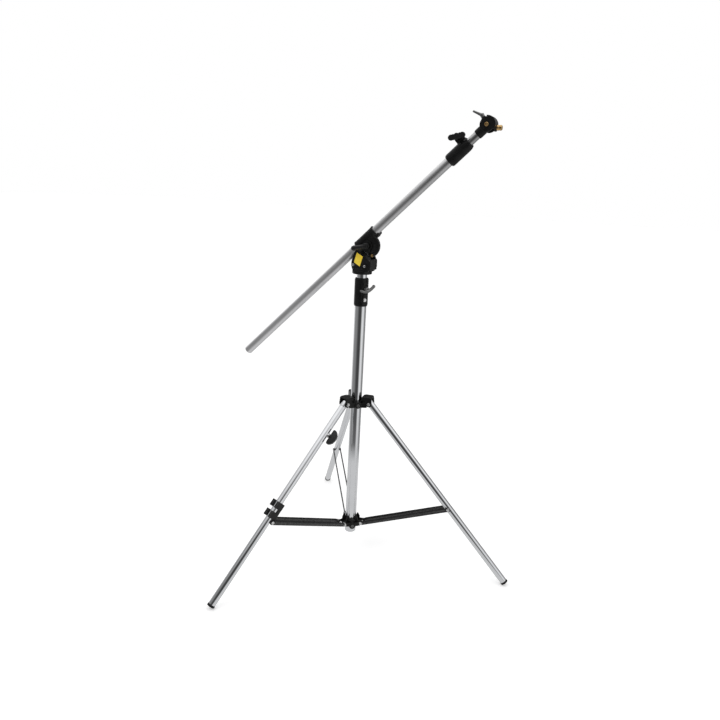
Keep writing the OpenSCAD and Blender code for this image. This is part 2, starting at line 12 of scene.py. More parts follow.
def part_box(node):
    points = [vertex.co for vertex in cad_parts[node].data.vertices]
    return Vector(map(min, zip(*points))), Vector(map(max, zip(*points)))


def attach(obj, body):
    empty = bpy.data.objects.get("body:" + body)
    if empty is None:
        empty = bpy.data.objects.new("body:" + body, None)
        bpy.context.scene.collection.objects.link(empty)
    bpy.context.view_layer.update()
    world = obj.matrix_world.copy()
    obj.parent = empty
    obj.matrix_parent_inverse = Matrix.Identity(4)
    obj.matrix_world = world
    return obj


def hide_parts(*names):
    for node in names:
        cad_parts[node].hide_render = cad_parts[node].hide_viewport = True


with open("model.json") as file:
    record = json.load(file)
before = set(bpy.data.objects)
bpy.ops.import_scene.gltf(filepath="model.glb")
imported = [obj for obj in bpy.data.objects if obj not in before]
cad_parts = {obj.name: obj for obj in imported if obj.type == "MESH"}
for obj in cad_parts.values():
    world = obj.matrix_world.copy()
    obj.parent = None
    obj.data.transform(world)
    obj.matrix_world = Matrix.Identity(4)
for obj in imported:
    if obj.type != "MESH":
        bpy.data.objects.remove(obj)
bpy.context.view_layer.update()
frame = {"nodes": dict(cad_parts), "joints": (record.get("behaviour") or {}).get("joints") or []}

MM = 0.001
SEGMENTS = 96
SHARP_FROM = 40
BEVEL_FROM = 35
UP = Vector((0, 0, 1))
JOINTS = {joint["name"]: joint for joint in frame["joints"]}


# ---------------------------------------------------------------- places

def joint_pos(name):
    return Vector(JOINTS[name]["pos_m"])


def joint_axis(name):
    return Vector(JOINTS[name]["axis"]).normalized()


def heading(vector):
    """Degrees around from X, seen from above."""
    return math.degrees(math.atan2(vector.y, vector.x))


def rise(vector):
    """Degrees up from X, seen from the front."""
    return math.degrees(math.atan2(vector.z, vector.x))


def place(origin, x_axis, z_axis):
    """Local millimetres to world metres."""
    z_axis = z_axis.normalized()
    y_axis = z_axis.cross(x_axis).normalized()
    x_axis = y_axis.cross(z_axis)
    turn = Matrix((x_axis, y_axis, z_axis)).transposed().to_4x4()
    return Matrix.Translation(origin) @ turn @ Matrix.Scale(MM, 4)


def move(x=0, y=0, z=0):
    return Matrix.Translation((x, y, z))


def spin(degrees, axis="Z"):
    return Matrix.Rotation(math.radians(degrees), 4, axis)


WORLD = Matrix.Scale(MM, 4)
ALONG_X = spin(90, "Y")
ALONG_Y = spin(-90, "X")
BOTH_ENDS = (Matrix(), spin(180, "X"))

LEG_SIDES = ("right", "rear", "left")
LEG_PIVOTS = {side: joint_pos(f"leg_{side}_fold") for side in LEG_SIDES}
HUB_PIVOTS = {side: joint_pos(f"brace_{side}_fold") for side in LEG_SIDES}
LEG_AZ = {side: heading(pivot) for side, pivot in LEG_PIVOTS.items()}
LEG_TILT = math.acos(joint_axis("levelling_slide").z)
PIVOT_Z = LEG_PIVOTS["right"].z / MM
PIVOT_R = LEG_PIVOTS["right"].xy.length / MM
HUB_Z = HUB_PIVOTS["right"].z / MM
HUB_R = HUB_PIVOTS["right"].xy.length / MM
BOSS_AZ = heading(joint_axis("crown_lock_turn"))

BOOM_DIR = joint_axis("boom_slide")
BOOM_RISE = rise(BOOM_DIR)
TIP_POS = joint_pos("tip_tilt")
CROSS = TIP_POS - BOOM_DIR * (TIP_POS.x / BOOM_DIR.x)
BOOM_PLACE = place(CROSS, BOOM_DIR, Vector((-BOOM_DIR.z, 0, BOOM_DIR.x)))
TIP_AT = (TIP_POS - CROSS).length / MM
TILT_POS = joint_pos("head_tilt")
TILT_X = TILT_POS.x / MM
TILT_Z = TILT_POS.z / MM
CLAMP_AXIS = joint_axis("riser_clamp_turn")
CLAMP_Z = joint_pos("riser_clamp_turn").z
CLAMP_PLACE = place(Vector((0, 0, CLAMP_Z)), CLAMP_AXIS, UP)


def leg_place(side):
    """Z runs down the leg from its pivot, X points to its underside."""
    out = Vector(LEG_PIVOTS[side].xy.to_3d()).normalized()
    down = out * math.sin(LEG_TILT) - UP * math.cos(LEG_TILT)
    under = -out * math.cos(LEG_TILT) - UP * math.sin(LEG_TILT)
    return place(LEG_PIVOTS[side], under, down)


def box_mm(node):
    low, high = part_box(node)
    return low / MM, high / MM


# ---------------------------------------------------------------- mesh tools

def rounded(points, closed=True, steps=4):
    """Corners given as (u, v, radius) are rounded, and corners given as (u, v) stay sharp."""
    result = []
    for i, point in enumerate(points):
        here = Vector(point[:2])
        at_end = not closed and i in (0, len(points) - 1)
        if len(point) < 3 or at_end:
            result.append(here)
            continue
        before = Vector(points[i - 1][:2]) - here
        after = Vector(points[(i + 1) % len(points)][:2]) - here
        start = here + before.normalized() * min(point[2], before.length * 0.49)
        end = here + after.normalized() * min(point[2], after.length * 0.49)
        for k in range(steps + 1):
            t = k / steps
            result.append(start * (1 - t) ** 2 + here * 2 * t * (1 - t) + end * t * t)
    return result


def arc(centre, radius, start, end, steps=24):
    """Points on a circle from one angle to another, in degrees."""
    angles = [math.radians(start + (end - start) * k / steps) for k in range(steps + 1)]
    return [(centre[0] + radius * math.cos(a), centre[1] + radius * math.sin(a)) for a in angles]


class Solid:
    """A closed mesh drawn in millimetres."""

    def __init__(self):
        self.bm = bmesh.new()

    def _verts(self, points, at):
        return [self.bm.verts.new(at @ Vector(p)) for p in points]

    def lathe(self, profile, at=Matrix(), closed=False, segments=SEGMENTS):
        """Turns (radius, height) points about local Z. A closed profile makes a ring."""
        rings = []
        for point in profile:
            radius, height = point[0], point[1]
            if radius < 1e-6:
                rings.append(self._verts([(0, 0, height)], at))
                continue
            angles = [2 * math.pi * k / segments for k in range(segments)]
            circle = [(radius * math.cos(a), radius * math.sin(a), height) for a in angles]
            rings.append(self._verts(circle, at))
        pairs = list(zip(rings, rings[1:]))
        if closed:
            pairs.append((rings[-1], rings[0]))
        for low, high in pairs:
            for k in range(segments):
                n = (k + 1) % segments
                corners = [low[k % len(low)], low[n % len(low)], high[n % len(high)], high[k % len(high)]]
                self.bm.faces.new(list(dict.fromkeys(corners)))
        if not closed:
            for ring in (rings[0], rings[-1]):
                if len(ring) > 1:
                    self.bm.faces.new(ring)
        return self

    def slab(self, outline, low, high, at=Matrix()):
        """An X-Y outline raised from Z = low to Z = high."""
        bottom = self._verts([(p[0], p[1], low) for p in outline], at)
        top = self._verts([(p[0], p[1], high) for p in outline], at)
        self.bm.faces.new(bottom)
        self.bm.faces.new(top)
        for k in range(len(outline)):
            n = (k + 1) % len(outline)
            self.bm.faces.new((bottom[k], bottom[n], top[n], top[k]))
        return self

    def plate(self, outline, near, far, at=Matrix()):
        """An X-Z outline from Y = near to Y = far."""
        return self.slab(outline, -far, -near, at @ spin(90, "X"))

    def box(self, low, high, at=Matrix()):
        corners = [(low[0], low[1]), (high[0], low[1]), (high[0], high[1]), (low[0], high[1])]
        return self.slab(corners, low[2], high[2], at)

    def rod(self, radius, low, high, at=Matrix(), edge=0.6, segments=SEGMENTS):
        """A round bar along local Z with softened ends."""
        profile = [(0, low), (radius, low, edge), (radius, high, edge), (0, high)]
        return self.lathe(rounded(profile, closed=False, steps=3), at, segments=segments)

    def tube(self, outer, inner, low, high, at=Matrix(), edge=0.4):
        profile = [(inner, low), (outer, low, edge), (outer, high, edge), (inner, high)]
        return self.lathe(rounded(profile, steps=3), at, closed=True)

    def sweep(self, path, radii, at=Matrix(), squash=1.0, segments=32):
        """A round bar through points, with a domed end at each side."""
        path = [Vector(p) for p in path]
        ends = []
        for tip, inner, radius in ((0, 1, radii[0]), (-1, -2, radii[-1])):
            out = (path[tip] - path[inner]).normalized()
            ends.append([(path[tip] + out * radius * math.sin(a), radius * math.cos(a))
                         for a in (math.radians(d) for d in (25, 50, 70, 84))])
        stations = ends[0][::-1] + list(zip(path, radii)) + ends[1]
        side = (path[-1] - path[0]).orthogonal().normalized()
        rings = []
        for i, (centre, radius) in enumerate(stations):
            along = (stations[min(i + 1, len(stations) - 1)][0] - stations[max(i - 1, 0)][0]).normalized()
            side = (side - along * side.dot(along)).normalized()
            other = along.cross(side)
            angles = [2 * math.pi * k / segments for k in range(segments)]
            rings.append(self._verts([centre + radius * (side * math.cos(a) * squash + other * math.sin(a))
                                      for a in angles], at))
        for low, high in zip(rings, rings[1:]):
            for k in range(segments):
                n = (k + 1) % segments
                self.bm.faces.new((low[k], low[n], high[n], high[k]))
        self.bm.faces.new(rings[0])
        self.bm.faces.new(rings[-1])
        return self

    def hexagon(self, radius, low, high, at=Matrix(), chamfer=0.8):
        """A six-sided head, with its corners turned off at the high end."""
        angles = [math.radians(a) for a in range(0, 360, 60)]
        head = [(radius * math.cos(a), radius * math.sin(a)) for a in angles]
        waist = self._verts([(x, y, low) for x, y in head], at)
        shoulder = self._verts([(x, y, high - chamfer) for x, y in head], at)
        crest = self._verts([(x * 0.84, y * 0.84, high) for x, y in head], at)
        for a, b in ((waist, shoulder), (shoulder, crest)):
            for k in range(6):
                n = (k + 1) % 6
                self.bm.faces.new((a[k], a[n], b[n], b[k]))
        self.bm.faces.new(waist)
        self.bm.faces.new(crest)
        return self


class Drill:
    """Closed cutters that are taken out of a piece one by one. It draws what Solid draws."""

    def __init__(self):
        self.cutters = []

    def __getattr__(self, shape):
        def draw(*sizes, **settings):
            self.cutters.append(getattr(Solid(), shape)(*sizes, **settings))
            return self
        return draw


def to_object(solid, name):
    bmesh.ops.recalc_face_normals(solid.bm, faces=solid.bm.faces)
    mesh = bpy.data.meshes.new(name)
    solid.bm.to_mesh(mesh)
    solid.bm.free()
    obj = bpy.data.objects.new(name, mesh)
    bpy.context.scene.collection.objects.link(obj)
    return obj


def drill(obj, cutter):
    """Takes one closed cutter out of a piece."""
    hole = obj.modifiers.new("drill", "BOOLEAN")
    hole.operation = "DIFFERENCE"
    hole.solver = "EXACT"
    hole.object = cutter


def make(name, solid, body, material, at=WORLD, replaces=(), bevel=0, cast=0, soften=4, cut=None):
    """Finishes a drawn solid: cast size melts it into one casting, bevel softens its edges, cut drills it."""
    obj = to_object(solid, name)
    cutters = [to_object(cutter, f"{name}_cutter") for cutter in cut.cutters] if cut else []
    if cast:
        remesh = obj.modifiers.new("melt", "REMESH")
        remesh.mode = "VOXEL"
        remesh.voxel_size = cast
        smooth = obj.modifiers.new("soften", "SMOOTH")
        smooth.factor = 0.5
        smooth.iterations = soften
    if bevel:
        edge = obj.modifiers.new("edge", "BEVEL")
        edge.width = bevel
        edge.segments = 3
        edge.limit_method = "ANGLE"
        edge.angle_limit = math.radians(BEVEL_FROM)
    for cutter in cutters:
        drill(obj, cutter)
    if obj.modifiers:
        bpy.context.view_layer.update()
        evaluated = obj.evaluated_get(bpy.context.evaluated_depsgraph_get())
        mesh = bpy.data.meshes.new_from_object(evaluated)
        obj.modifiers.clear()
        obj.data = mesh
    for cutter in cutters:
        bpy.data.objects.remove(cutter)
    obj.data.transform(at)
    obj.data.materials.clear()
    obj.data.materials.append(material)
    obj.data.shade_smooth()
    obj.data.set_sharp_from_angle(angle=math.radians(SHARP_FROM))
    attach(obj, body)
    if replaces:
        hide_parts(*replaces)
    return obj


# ---------------------------------------------------------------- materials

class Nodes:
    """Short names for the shader nodes that the materials below share."""

    def __init__(self, tree):
        self.tree = tree

    def add(self, kind, inputs=None, **settings):
        node = self.tree.nodes.new(kind)
        for key, value in settings.items():
            setattr(node, key, value)
        for key, value in (inputs or {}).items():
            if isinstance(value, bpy.types.NodeSocket):
                self.tree.links.new(value, node.inputs[key])
            else:
                node.inputs[key].default_value = value
        return node

    def noise(self, vector, scale, detail=3.0, roughness=0.5):
        inputs = {"Vector": vector, "Scale": scale, "Detail": detail, "Roughness": roughness}
        return self.add("ShaderNodeTexNoise", inputs).outputs["Fac"]

    def remap(self, value, low, high, from_low=0.3, from_high=0.7):
        inputs = {"Value": value, "From Min": from_low, "From Max": from_high, "To Min": low, "To Max": high}
        return self.add("ShaderNodeMapRange", inputs).outputs["Result"]

    def mix(self, factor, a, b):
        node = self.add("ShaderNodeMix", data_type="RGBA")
        for socket, value in zip((node.inputs[0], node.inputs[6], node.inputs[7]), (factor, a, b)):
            if isinstance(value, bpy.types.NodeSocket):
                self.tree.links.new(value, socket)
            else:
                socket.default_value = value
        return node.outputs[2]

    def math(self, operation, a, b=0.0):
        return self.add("ShaderNodeMath", {0: a, 1: b}, operation=operation).outputs[0]

    def ring(self, around, stops):
        """Greys around a full turn, from (degrees, brightness) stops."""
        node = self.add("ShaderNodeValToRGB", {"Fac": around})
        elements = node.color_ramp.elements
        for k, (angle, level) in enumerate(stops):
            position = (angle + 180) / 360
            stop = elements[k] if k < 2 else elements.new(position)
            stop.position = position
            stop.color = grey(level)
        return node.outputs["Color"]

    def along(self, parts, x, y):
        """How far a direction's parts point along (x, y)."""
        return self.math("ADD", self.math("MULTIPLY", parts["X"], x), self.math("MULTIPLY", parts["Y"], y))

    def bump(self, height, strength, distance):
        inputs = {"Height": height, "Strength": strength, "Distance": distance}
        return self.add("ShaderNodeBump", inputs).outputs["Normal"]


def grey(value, alpha=1.0):
    return (value, value, value, alpha)


def finish(name, light, dark, rough, metallic=0.0, grain=900, mottling=30, bump=0.1, bump_mm=0.05, edge=None,
           stretch=(1, 1, 1), coat=0.0, specular=0.5):
    """A surface whose colour, roughness and relief vary.

    rough is (lowest, highest), and edge is a painted highlight colour laid along sharp edges.
    """
    material = bpy.data.materials.new(name)
    material.use_nodes = True
    tree = material.node_tree
    tree.nodes.clear()
    nodes = Nodes(tree)
    where = nodes.add("ShaderNodeTexCoord").outputs["Object"]
    where = nodes.add("ShaderNodeMapping", {"Vector": where, "Scale": stretch}).outputs["Vector"]
    broad = nodes.noise(where, mottling)
    fine = nodes.noise(where, grain, detail=4.0, roughness=0.6)
    colour = nodes.mix(nodes.remap(broad, 0, 1), dark, light)
    if edge:
        # Painted highlight: sharp edges, found by pointiness and broken up by noise, are lightened towards
        # the edge colour.
        pointed = nodes.add("ShaderNodeNewGeometry").outputs["Pointiness"]
        edge_highlight_mask = nodes.remap(pointed, 0, 1, 0.53, 0.62)
        edge_highlight_mask = nodes.math("MULTIPLY", edge_highlight_mask, nodes.remap(nodes.noise(where, 260), 0.1, 0.8))
        colour = nodes.mix(edge_highlight_mask, colour, edge)
    shader = nodes.add("ShaderNodeBsdfPrincipled", {
        "Base Color": colour,
        "Metallic": metallic,
        "Roughness": nodes.remap(nodes.math("ADD", nodes.math("MULTIPLY", broad, 0.5),
                                            nodes.math("MULTIPLY", fine, 0.5)), *rough),
        "Specular IOR Level": specular,
        "Coat Weight": coat,
        "Coat Roughness": 0.15,
        "Normal": nodes.bump(fine, bump, bump_mm * MM),
    })
    output = nodes.add("ShaderNodeOutputMaterial")
    tree.links.new(shader.outputs[0], output.inputs["Surface"])
    return material


CHROME = finish("chrome", (0.86, 0.87, 0.89, 1), (0.80, 0.81, 0.83, 1), (0.05, 0.11), metallic=1.0,
                grain=2500, mottling=14, bump=0.02, bump_mm=0.01)
DULL = finish("dull_chrome", grey(0.60), grey(0.54), (0.14, 0.22), metallic=1.0,
              grain=2500, mottling=14, bump=0.02, bump_mm=0.01)
SATIN = finish("satin_aluminium", (0.84, 0.84, 0.85, 1), (0.78, 0.78, 0.79, 1), (0.27, 0.36), metallic=1.0,
               grain=2200, mottling=18, bump=0.04, bump_mm=0.01)
# The edge colours of the powder coat and the black plastic are painted highlights along their sharp edges.
POWDER = finish("black_powder_coat", grey(0.010), grey(0.005), (0.20, 0.34), edge=grey(0.24), specular=0.22,
                grain=1500, mottling=45, bump=0.25, bump_mm=0.10)
PLASTIC = finish("black_plastic", grey(0.011), grey(0.006), (0.22, 0.36), edge=grey(0.12), specular=0.42,
                 grain=2600, mottling=60, bump=0.22, bump_mm=0.06)
STEEL = finish("plated_steel", grey(0.78), grey(0.62), (0.18, 0.32), metallic=1.0,
               grain=1800, mottling=120, bump=0.06, bump_mm=0.03)
ZINC = finish("cast_zinc", grey(0.28), grey(0.17), (0.32, 0.48), metallic=1.0,
              grain=1300, mottling=90, bump=0.25, bump_mm=0.08)
BRASS = finish("turned_brass", (0.80, 0.54, 0.25, 1), (0.60, 0.38, 0.15, 1), (0.10, 0.20), metallic=1.0,
               grain=1600, mottling=110, bump=0.06, bump_mm=0.03)
RUBBER = finish("black_rubber", grey(0.013), grey(0.008), (0.62, 0.80), specular=0.25,
                grain=1400, mottling=70, bump=0.30, bump_mm=0.10)
PALE_PLASTIC = finish("pale_plastic", grey(0.62), grey(0.50), (0.30, 0.42),
                      grain=1500, mottling=60, bump=0.10, bump_mm=0.05)
NYLON = finish("nylon", (0.80, 0.78, 0.72, 1), (0.70, 0.68, 0.62, 1), (0.40, 0.55),
               grain=900, mottling=60, bump=0.1)
YELLOW = finish("yellow_label", (0.90, 0.66, 0.045, 1), (0.80, 0.56, 0.03, 1), (0.30, 0.40), coat=0.2,
                grain=900, mottling=80, bump=0.05, bump_mm=0.02)


# ---------------------------------------------------------------- column

COLUMN_R = 20
COLUMN_BORE_R = 18.25
LEG_R = 12.5
LEG_BORE_R = 11.0
FIT = 0.06
BOLT_R = 4


def column():
    low, high = box_mm("column_tube")
    tube = Solid().tube(COLUMN_R, COLUMN_BORE_R, low.z, high.z)
    make("column_tube_chrome", tube, "root", CHROME, replaces=["column_tube"])
    plug = Solid().lathe(rounded([
        (0, low.z - 2.6), (10, low.z - 2.6, 4), (18.2, low.z - 1.8, 2), (COLUMN_R, low.z, 0.4),
        (COLUMN_BORE_R - 0.05, low.z), (COLUMN_BORE_R - 0.05, low.z + 16, 1), (0, low.z + 16)], closed=False))
    make("column_plug_moulding", plug, "root", PALE_PLASTIC, replaces=["column_plug"])


def casting_web(solid, az_from, tip, az_to, root, low, high, thickness=4.5):
    """A flat web from one polar point (radius, sideways) to another."""
    start = spin(az_from) @ Vector((tip[0], tip[1], 0))
    end = spin(az_to) @ Vector((root[0], root[1], 0))
    across = (end - start).cross(UP).normalized() * thickness / 2
    corners = [start + across, end + across, end - across, start - across]
    solid.slab([tuple(c.xy) for c in corners], low, high)


def socket_screw(z, low):
    """A round screw head with a six-sided socket, standing in the casting's boss."""
    at = spin(BOSS_AZ) @ move(z=z) @ ALONG_X
    head = Solid().rod(5.4, 37.6, 41.6, at, edge=0.7).rod(BOLT_R, low, 38.5, at)
    socket = Drill().hexagon(3, 39.5, 45, at, chamfer=0.1)
    return head, socket


def hub_arm_outline():
    """Ear with a round end at the bolt and a pointed top beside the column."""
    nose = arc((HUB_R, HUB_Z), 9, -100, 75, 20)
    return nose + rounded([(HUB_R - 12, HUB_Z + 12, 5), (25.5, HUB_Z + 27, 0.8), (22, HUB_Z + 27, 0.8),
                           (16, HUB_Z + 14), (16, HUB_Z - 12)])


def hub():
    casting = Solid()
    ring = [(17, HUB_Z - 13, 0.5), (25, HUB_Z - 13, 2), (27, HUB_Z - 9, 2), (27, HUB_Z + 5, 2),
            (24, HUB_Z + 9, 2), (17, HUB_Z + 9, 0.5)]
    casting.lathe(rounded(ring), closed=True)
    for az in LEG_AZ.values():
        for side in (-1, 1):
            near, far = sorted((side * 8.8, side * 13.0))
            casting.plate(hub_arm_outline(), near, far, spin(az))
    boss = spin(BOSS_AZ) @ move(z=HUB_Z - 8) @ ALONG_X
    casting.rod(12, 18, 40, boss, edge=1.5)
    casting_web(casting, BOSS_AZ, (34, 9), LEG_AZ["right"], (41, -11), HUB_Z - 12, HUB_Z + 3)
    casting_web(casting, BOSS_AZ, (34, -9), LEG_AZ["left"], (41, 11), HUB_Z - 12, HUB_Z + 3)
    bores = Drill().rod(COLUMN_R + 0.04, HUB_Z - 60, HUB_Z + 60)
    for az in LEG_AZ.values():
        bores.rod(BOLT_R + 0.05, -18, 18, spin(az) @ move(HUB_R, 0, HUB_Z) @ ALONG_Y, segments=32)
    bores.rod(5.7, 37.5, 60, boss, segments=48)
    bores.rod(BOLT_R + 0.05, 30, 60, boss, segments=32)
    make("hub_casting_body", casting, "root", POWDER, replaces=["hub_casting"],
         cast=0.8, soften=3, cut=bores)
    head, socket = socket_screw(HUB_Z - 8, COLUMN_R + 0.2)
    make("hub_set_screw_head", head, "root", ZINC, replaces=["hub_set_screw"], cut=socket)
    bolts, spacers = Solid(), Solid()
    for side, az in LEG_AZ.items():
        half = 20.6 if side == "left" else 16.6
        at = spin(az) @ move(HUB_R, 0, HUB_Z) @ ALONG_Y
        bolts.rod(BOLT_R, -half, half, at)
        for turn in BOTH_ENDS:
            bolts.rod(6.2, half - 0.3, half + 0.6, at @ turn, edge=0.2)
            bolts.hexagon(5.4, half + 0.5, half + 3.9, at @ turn)
        if side == "left":
            for y in (-15.2, 15.2):
                spacers.tube(7, BOLT_R + 0.04, y - 2.1, y + 2.1, at)
    make("hub_bolts", bolts, "root", STEEL, replaces=["hub_pivot_bolts"])
    make("brace_spacer_rings", spacers, "root", STEEL, replaces=["brace_spacers"])


# ---------------------------------------------------------------- crown and legs

def crown():
    casting = Solid()
    ring = [(17, PIVOT_Z - 15, 0.5), (25, PIVOT_Z - 15, 2), (27, PIVOT_Z - 11, 2), (27, PIVOT_Z + 2, 2),
            (25, PIVOT_Z + 5, 2), (17, PIVOT_Z + 5, 0.5)]
    casting.lathe(rounded(ring), closed=True)
    cheek = arc((PIVOT_R, PIVOT_Z), 11, -90, 10, 14) + rounded([
        (PIVOT_R + 9.2, PIVOT_Z + 23, 1.5), (27, PIVOT_Z + 23, 1.5), (25, PIVOT_Z + 5), (18, PIVOT_Z + 5),
        (18, PIVOT_Z - 12), (PIVOT_R - 12, PIVOT_Z - 11, 4)])
    hood = rounded([(26.5, -12, 3), (33, -18.7, 4), (PIVOT_R + 4, -18.7, 4), (PIVOT_R + 9.4, -13, 3),
                    (PIVOT_R + 9.4, 13, 3), (PIVOT_R + 4, 18.7, 4), (33, 18.7, 4), (26.5, 12, 3)])
    for az in LEG_AZ.values():
        for side in (-1, 1):
            near, far = sorted((side * 13.2, side * 18.4))
            casting.plate(cheek, near, far, spin(az))
        casting.slab(hood, PIVOT_Z + 20.2, PIVOT_Z + 25, spin(az))
        casting.box((24, -13.4, PIVOT_Z + 3), (29, 13.4, PIVOT_Z + 22), spin(az))
    boss = spin(BOSS_AZ) @ move(z=PIVOT_Z - 5) @ ALONG_X
    casting.rod(11.5, 18, 40, boss, edge=1.5)
    casting_web(casting, BOSS_AZ, (34, 9), LEG_AZ["right"], (46, -16), PIVOT_Z - 14, PIVOT_Z + 4)
    casting_web(casting, BOSS_AZ, (34, -9), LEG_AZ["left"], (46, 16), PIVOT_Z - 14, PIVOT_Z + 4)
    bores = Drill().rod(COLUMN_R + FIT, PIVOT_Z - 60, PIVOT_Z + 60)
    for az in LEG_AZ.values():
        bores.rod(BOLT_R + 0.05, -22, 22, spin(az) @ move(PIVOT_R, 0, PIVOT_Z) @ ALONG_Y, segments=32)
    bores.rod(5.7, 37.5, 60, boss, segments=48)
    bores.rod(BOLT_R + 0.07, 30, 60, boss, segments=32)
    make("crown_casting_body", casting, "crown", POWDER, replaces=["crown_casting"],
         cast=0.8, soften=3, cut=bores)
    head, socket = socket_screw(PIVOT_Z - 5, COLUMN_R + 0.6)
    make("crown_lock_head", head, "crown_lock", ZINC,
         replaces=["crown_lock_screw"], cut=socket)
    bolts = Solid()
    for az in LEG_AZ.values():
        at = spin(az) @ move(PIVOT_R, 0, PIVOT_Z) @ ALONG_Y
        bolts.rod(BOLT_R, -18.8, 18.8, at)
        for turn in BOTH_ENDS:
            bolts.rod(6.0, 18.4, 19.4, at @ turn, edge=0.3)
            bolts.hexagon(5.0, 19.2, 22.4, at @ turn)
    make("crown_bolts", bolts, "crown", STEEL, replaces=["crown_pivot_bolts"])


FOOT_RIM = 1.5
FOOT_CAP = 6


def foot(side, length, body):
    """Rubber plug with a thin rim, pressed flat where it meets the floor."""
    profile = [(0, length - 14), (LEG_BORE_R - 0.04, length - 14, 0.5), (LEG_BORE_R - 0.04, length + 0.05),
               (LEG_R + 0.04, length + 0.05), (LEG_R + 0.04, length - FOOT_RIM),
               (13.0, length - FOOT_RIM, 0.3), (13.1, length + FOOT_CAP, 0.6), (0, length + FOOT_CAP)]
    solid = Solid().lathe(rounded(profile, closed=False, steps=3))
    shape = leg_place(side)
    to_leg = shape.inverted()
    for vertex in solid.bm.verts:
        world = shape @ vertex.co
        world.z = max(world.z, 0)
        vertex.co = to_leg @ world
    make(f"foot_{side}_rubber", solid, body, RUBBER, at=shape, replaces=[f"foot_{side}"])


def plain_leg(side, length):
    tube = Solid().tube(LEG_R, LEG_BORE_R, -9, length)
    hole = Drill().rod(BOLT_R + FIT, -30, 30, ALONG_Y, segments=48)
    make(f"leg_{side}_chrome", tube, f"leg_{side}", CHROME, at=leg_place(side),
         replaces=[f"leg_tube_{side}"], cut=hole)
    foot(side, length, f"leg_{side}")


GUIDE_LOW = 406
GUIDE_HIGH = 466
GUIDE_BOLTS = (420, 454)
LEVEL_TRAVEL = 150
LUG_AT = 475.3
LUG_OFF = 9.3
LIP_AT = -19
LIP_HALF = 10
KNOB_AT = 127
KNOB_TURN = 60


def levelling_leg(length):
    shape = leg_place("left")
    rail_r = LEG_BORE_R - FIT
    rail = Solid().lathe(rounded([(0, -9), (LEG_R, -9, 1), (LEG_R, 13.5, 1), (rail_r, 13.5), (rail_r, 500),
                                  (rail_r - 1.9, 500), (rail_r - 1.9, 13.5), (0, 13.5)], closed=False))
    holes = Drill().rod(BOLT_R + FIT, -30, 30, ALONG_Y, segments=48)
    for z in GUIDE_BOLTS:
        holes.rod(BOLT_R + 0.05, 4, 30, move(z=z) @ ALONG_X, segments=32)
    make("levelling_rail_tube", rail, "leg_left_inner", CHROME, at=shape,
         replaces=["levelling_rail"], cut=holes)

    tube = Solid().tube(LEG_R, LEG_BORE_R, 14, length)
    slot_low, slot_high = GUIDE_BOLTS[0] - LEVEL_TRAVEL, GUIDE_BOLTS[1]
    slot = arc((0, slot_high), 4.5, 0, 180, 12) + arc((0, slot_low), 4.5, 180, 360, 12)
    opening = Drill().plate([(y, z) for y, z in slot], -30, -6, spin(90))
    opening.rod(BOLT_R + 0.05, 5, 30, move(z=KNOB_AT) @ spin(KNOB_TURN) @ ALONG_X, segments=32)
    make("leg_left_chrome", tube, "leg_left_outer", CHROME, at=shape,
         replaces=["leg_tube_left"], cut=opening)
    foot("left", length, "leg_left_outer")

    throat = math.degrees(math.asin(LIP_HALF / (LEG_R + FIT)))
    saddle = rounded([(LIP_AT, LIP_HALF, 1), (LIP_AT, 17, 2), (14, 17, 3), (17, 14, 3), (17, -14, 3),
                      (14, -17, 3), (LIP_AT, -17, 2), (LIP_AT, -LIP_HALF, 1)])
    saddle += arc((0, 0), LEG_R + FIT, throat - 180, 180 - throat, 40)
    guide = Solid()
    for low in (GUIDE_LOW, GUIDE_HIGH - 24):
        guide.slab(saddle, low, low + 24)
    make("guide_saddles", guide, "leg_left_inner", POWDER, at=shape,
         replaces=["levelling_guide"], bevel=0.8)
    back = rounded([(4, 16.4), (14, 16.4, 3), (16.4, 14, 3), (16.4, -14, 3), (14, -16.4, 3), (4, -16.4)])
    back += arc((0, 0), LEG_R + FIT, -71.4, 71.4, 30)
    spine = Solid().slab(back, GUIDE_LOW + 23.5, GUIDE_HIGH - 23.5)
    lug = arc((LUG_OFF, LUG_AT), 7.9, -20, 165, 22) + rounded([(1.5, GUIDE_HIGH - 6, 2), (2, GUIDE_HIGH - 14),
                                                               (16.9, GUIDE_HIGH - 14)])
    for near, far in ((-16.9, -13), (13, 16.9)):
        spine.plate(lug, near, far)
    make("guide_spine", spine, "leg_left_inner", POWDER, at=shape, bevel=0.5)

    bolts = Solid()
    for z in GUIDE_BOLTS:
        at = move(z=z) @ ALONG_X
        bolts.rod(BOLT_R, 9, 17.2, at)
        bolts.rod(7, 16.7, 17.7, at, edge=0.3)
        bolts.hexagon(6.2, 17.5, 21, at)
    make("guide_bolt_heads", bolts, "leg_left_inner", STEEL, at=shape,
         replaces=["guide_bolts"])

    knob_place = shape @ move(z=KNOB_AT) @ spin(KNOB_TURN)
    boss = Solid().lathe(rounded([(BOLT_R + FIT, 11.6), (8.5, 11.6), (8.5, 15, 0.8), (7, 19, 0.8),
                                  (BOLT_R + FIT, 19)]), ALONG_X, closed=True)
    saddle_cut = Drill().rod(LEG_R + 0.02, -30, 30)
    make("levelling_boss_turned", boss, "leg_left_outer", STEEL, at=knob_place,
         replaces=["levelling_boss"], cut=saddle_cut)
    paddle = rounded([(21, -28.6, 9), (34, -27, 9), (46, -12, 14), (46, 12, 14), (34, 27, 9), (21, 28.6, 9)])
    scallops = []
    for x, z in paddle:
        ripple = 1 + 0.016 * math.cos(22 * math.atan2(z, x - 19))
        scallops.append((19 + (x - 19) * ripple, z * ripple))
    knob = Solid().plate(scallops, -6.9, 6.9).rod(9, 20.5, 27, ALONG_X).rod(BOLT_R, rail_r + 0.3, 24, ALONG_X)
    make("levelling_knob_grip", knob, "levelling_lock", PLASTIC, at=knob_place,
         replaces=["levelling_knob"], bevel=1.8)


STRAP_H = 15
STRAP_T = 2.5


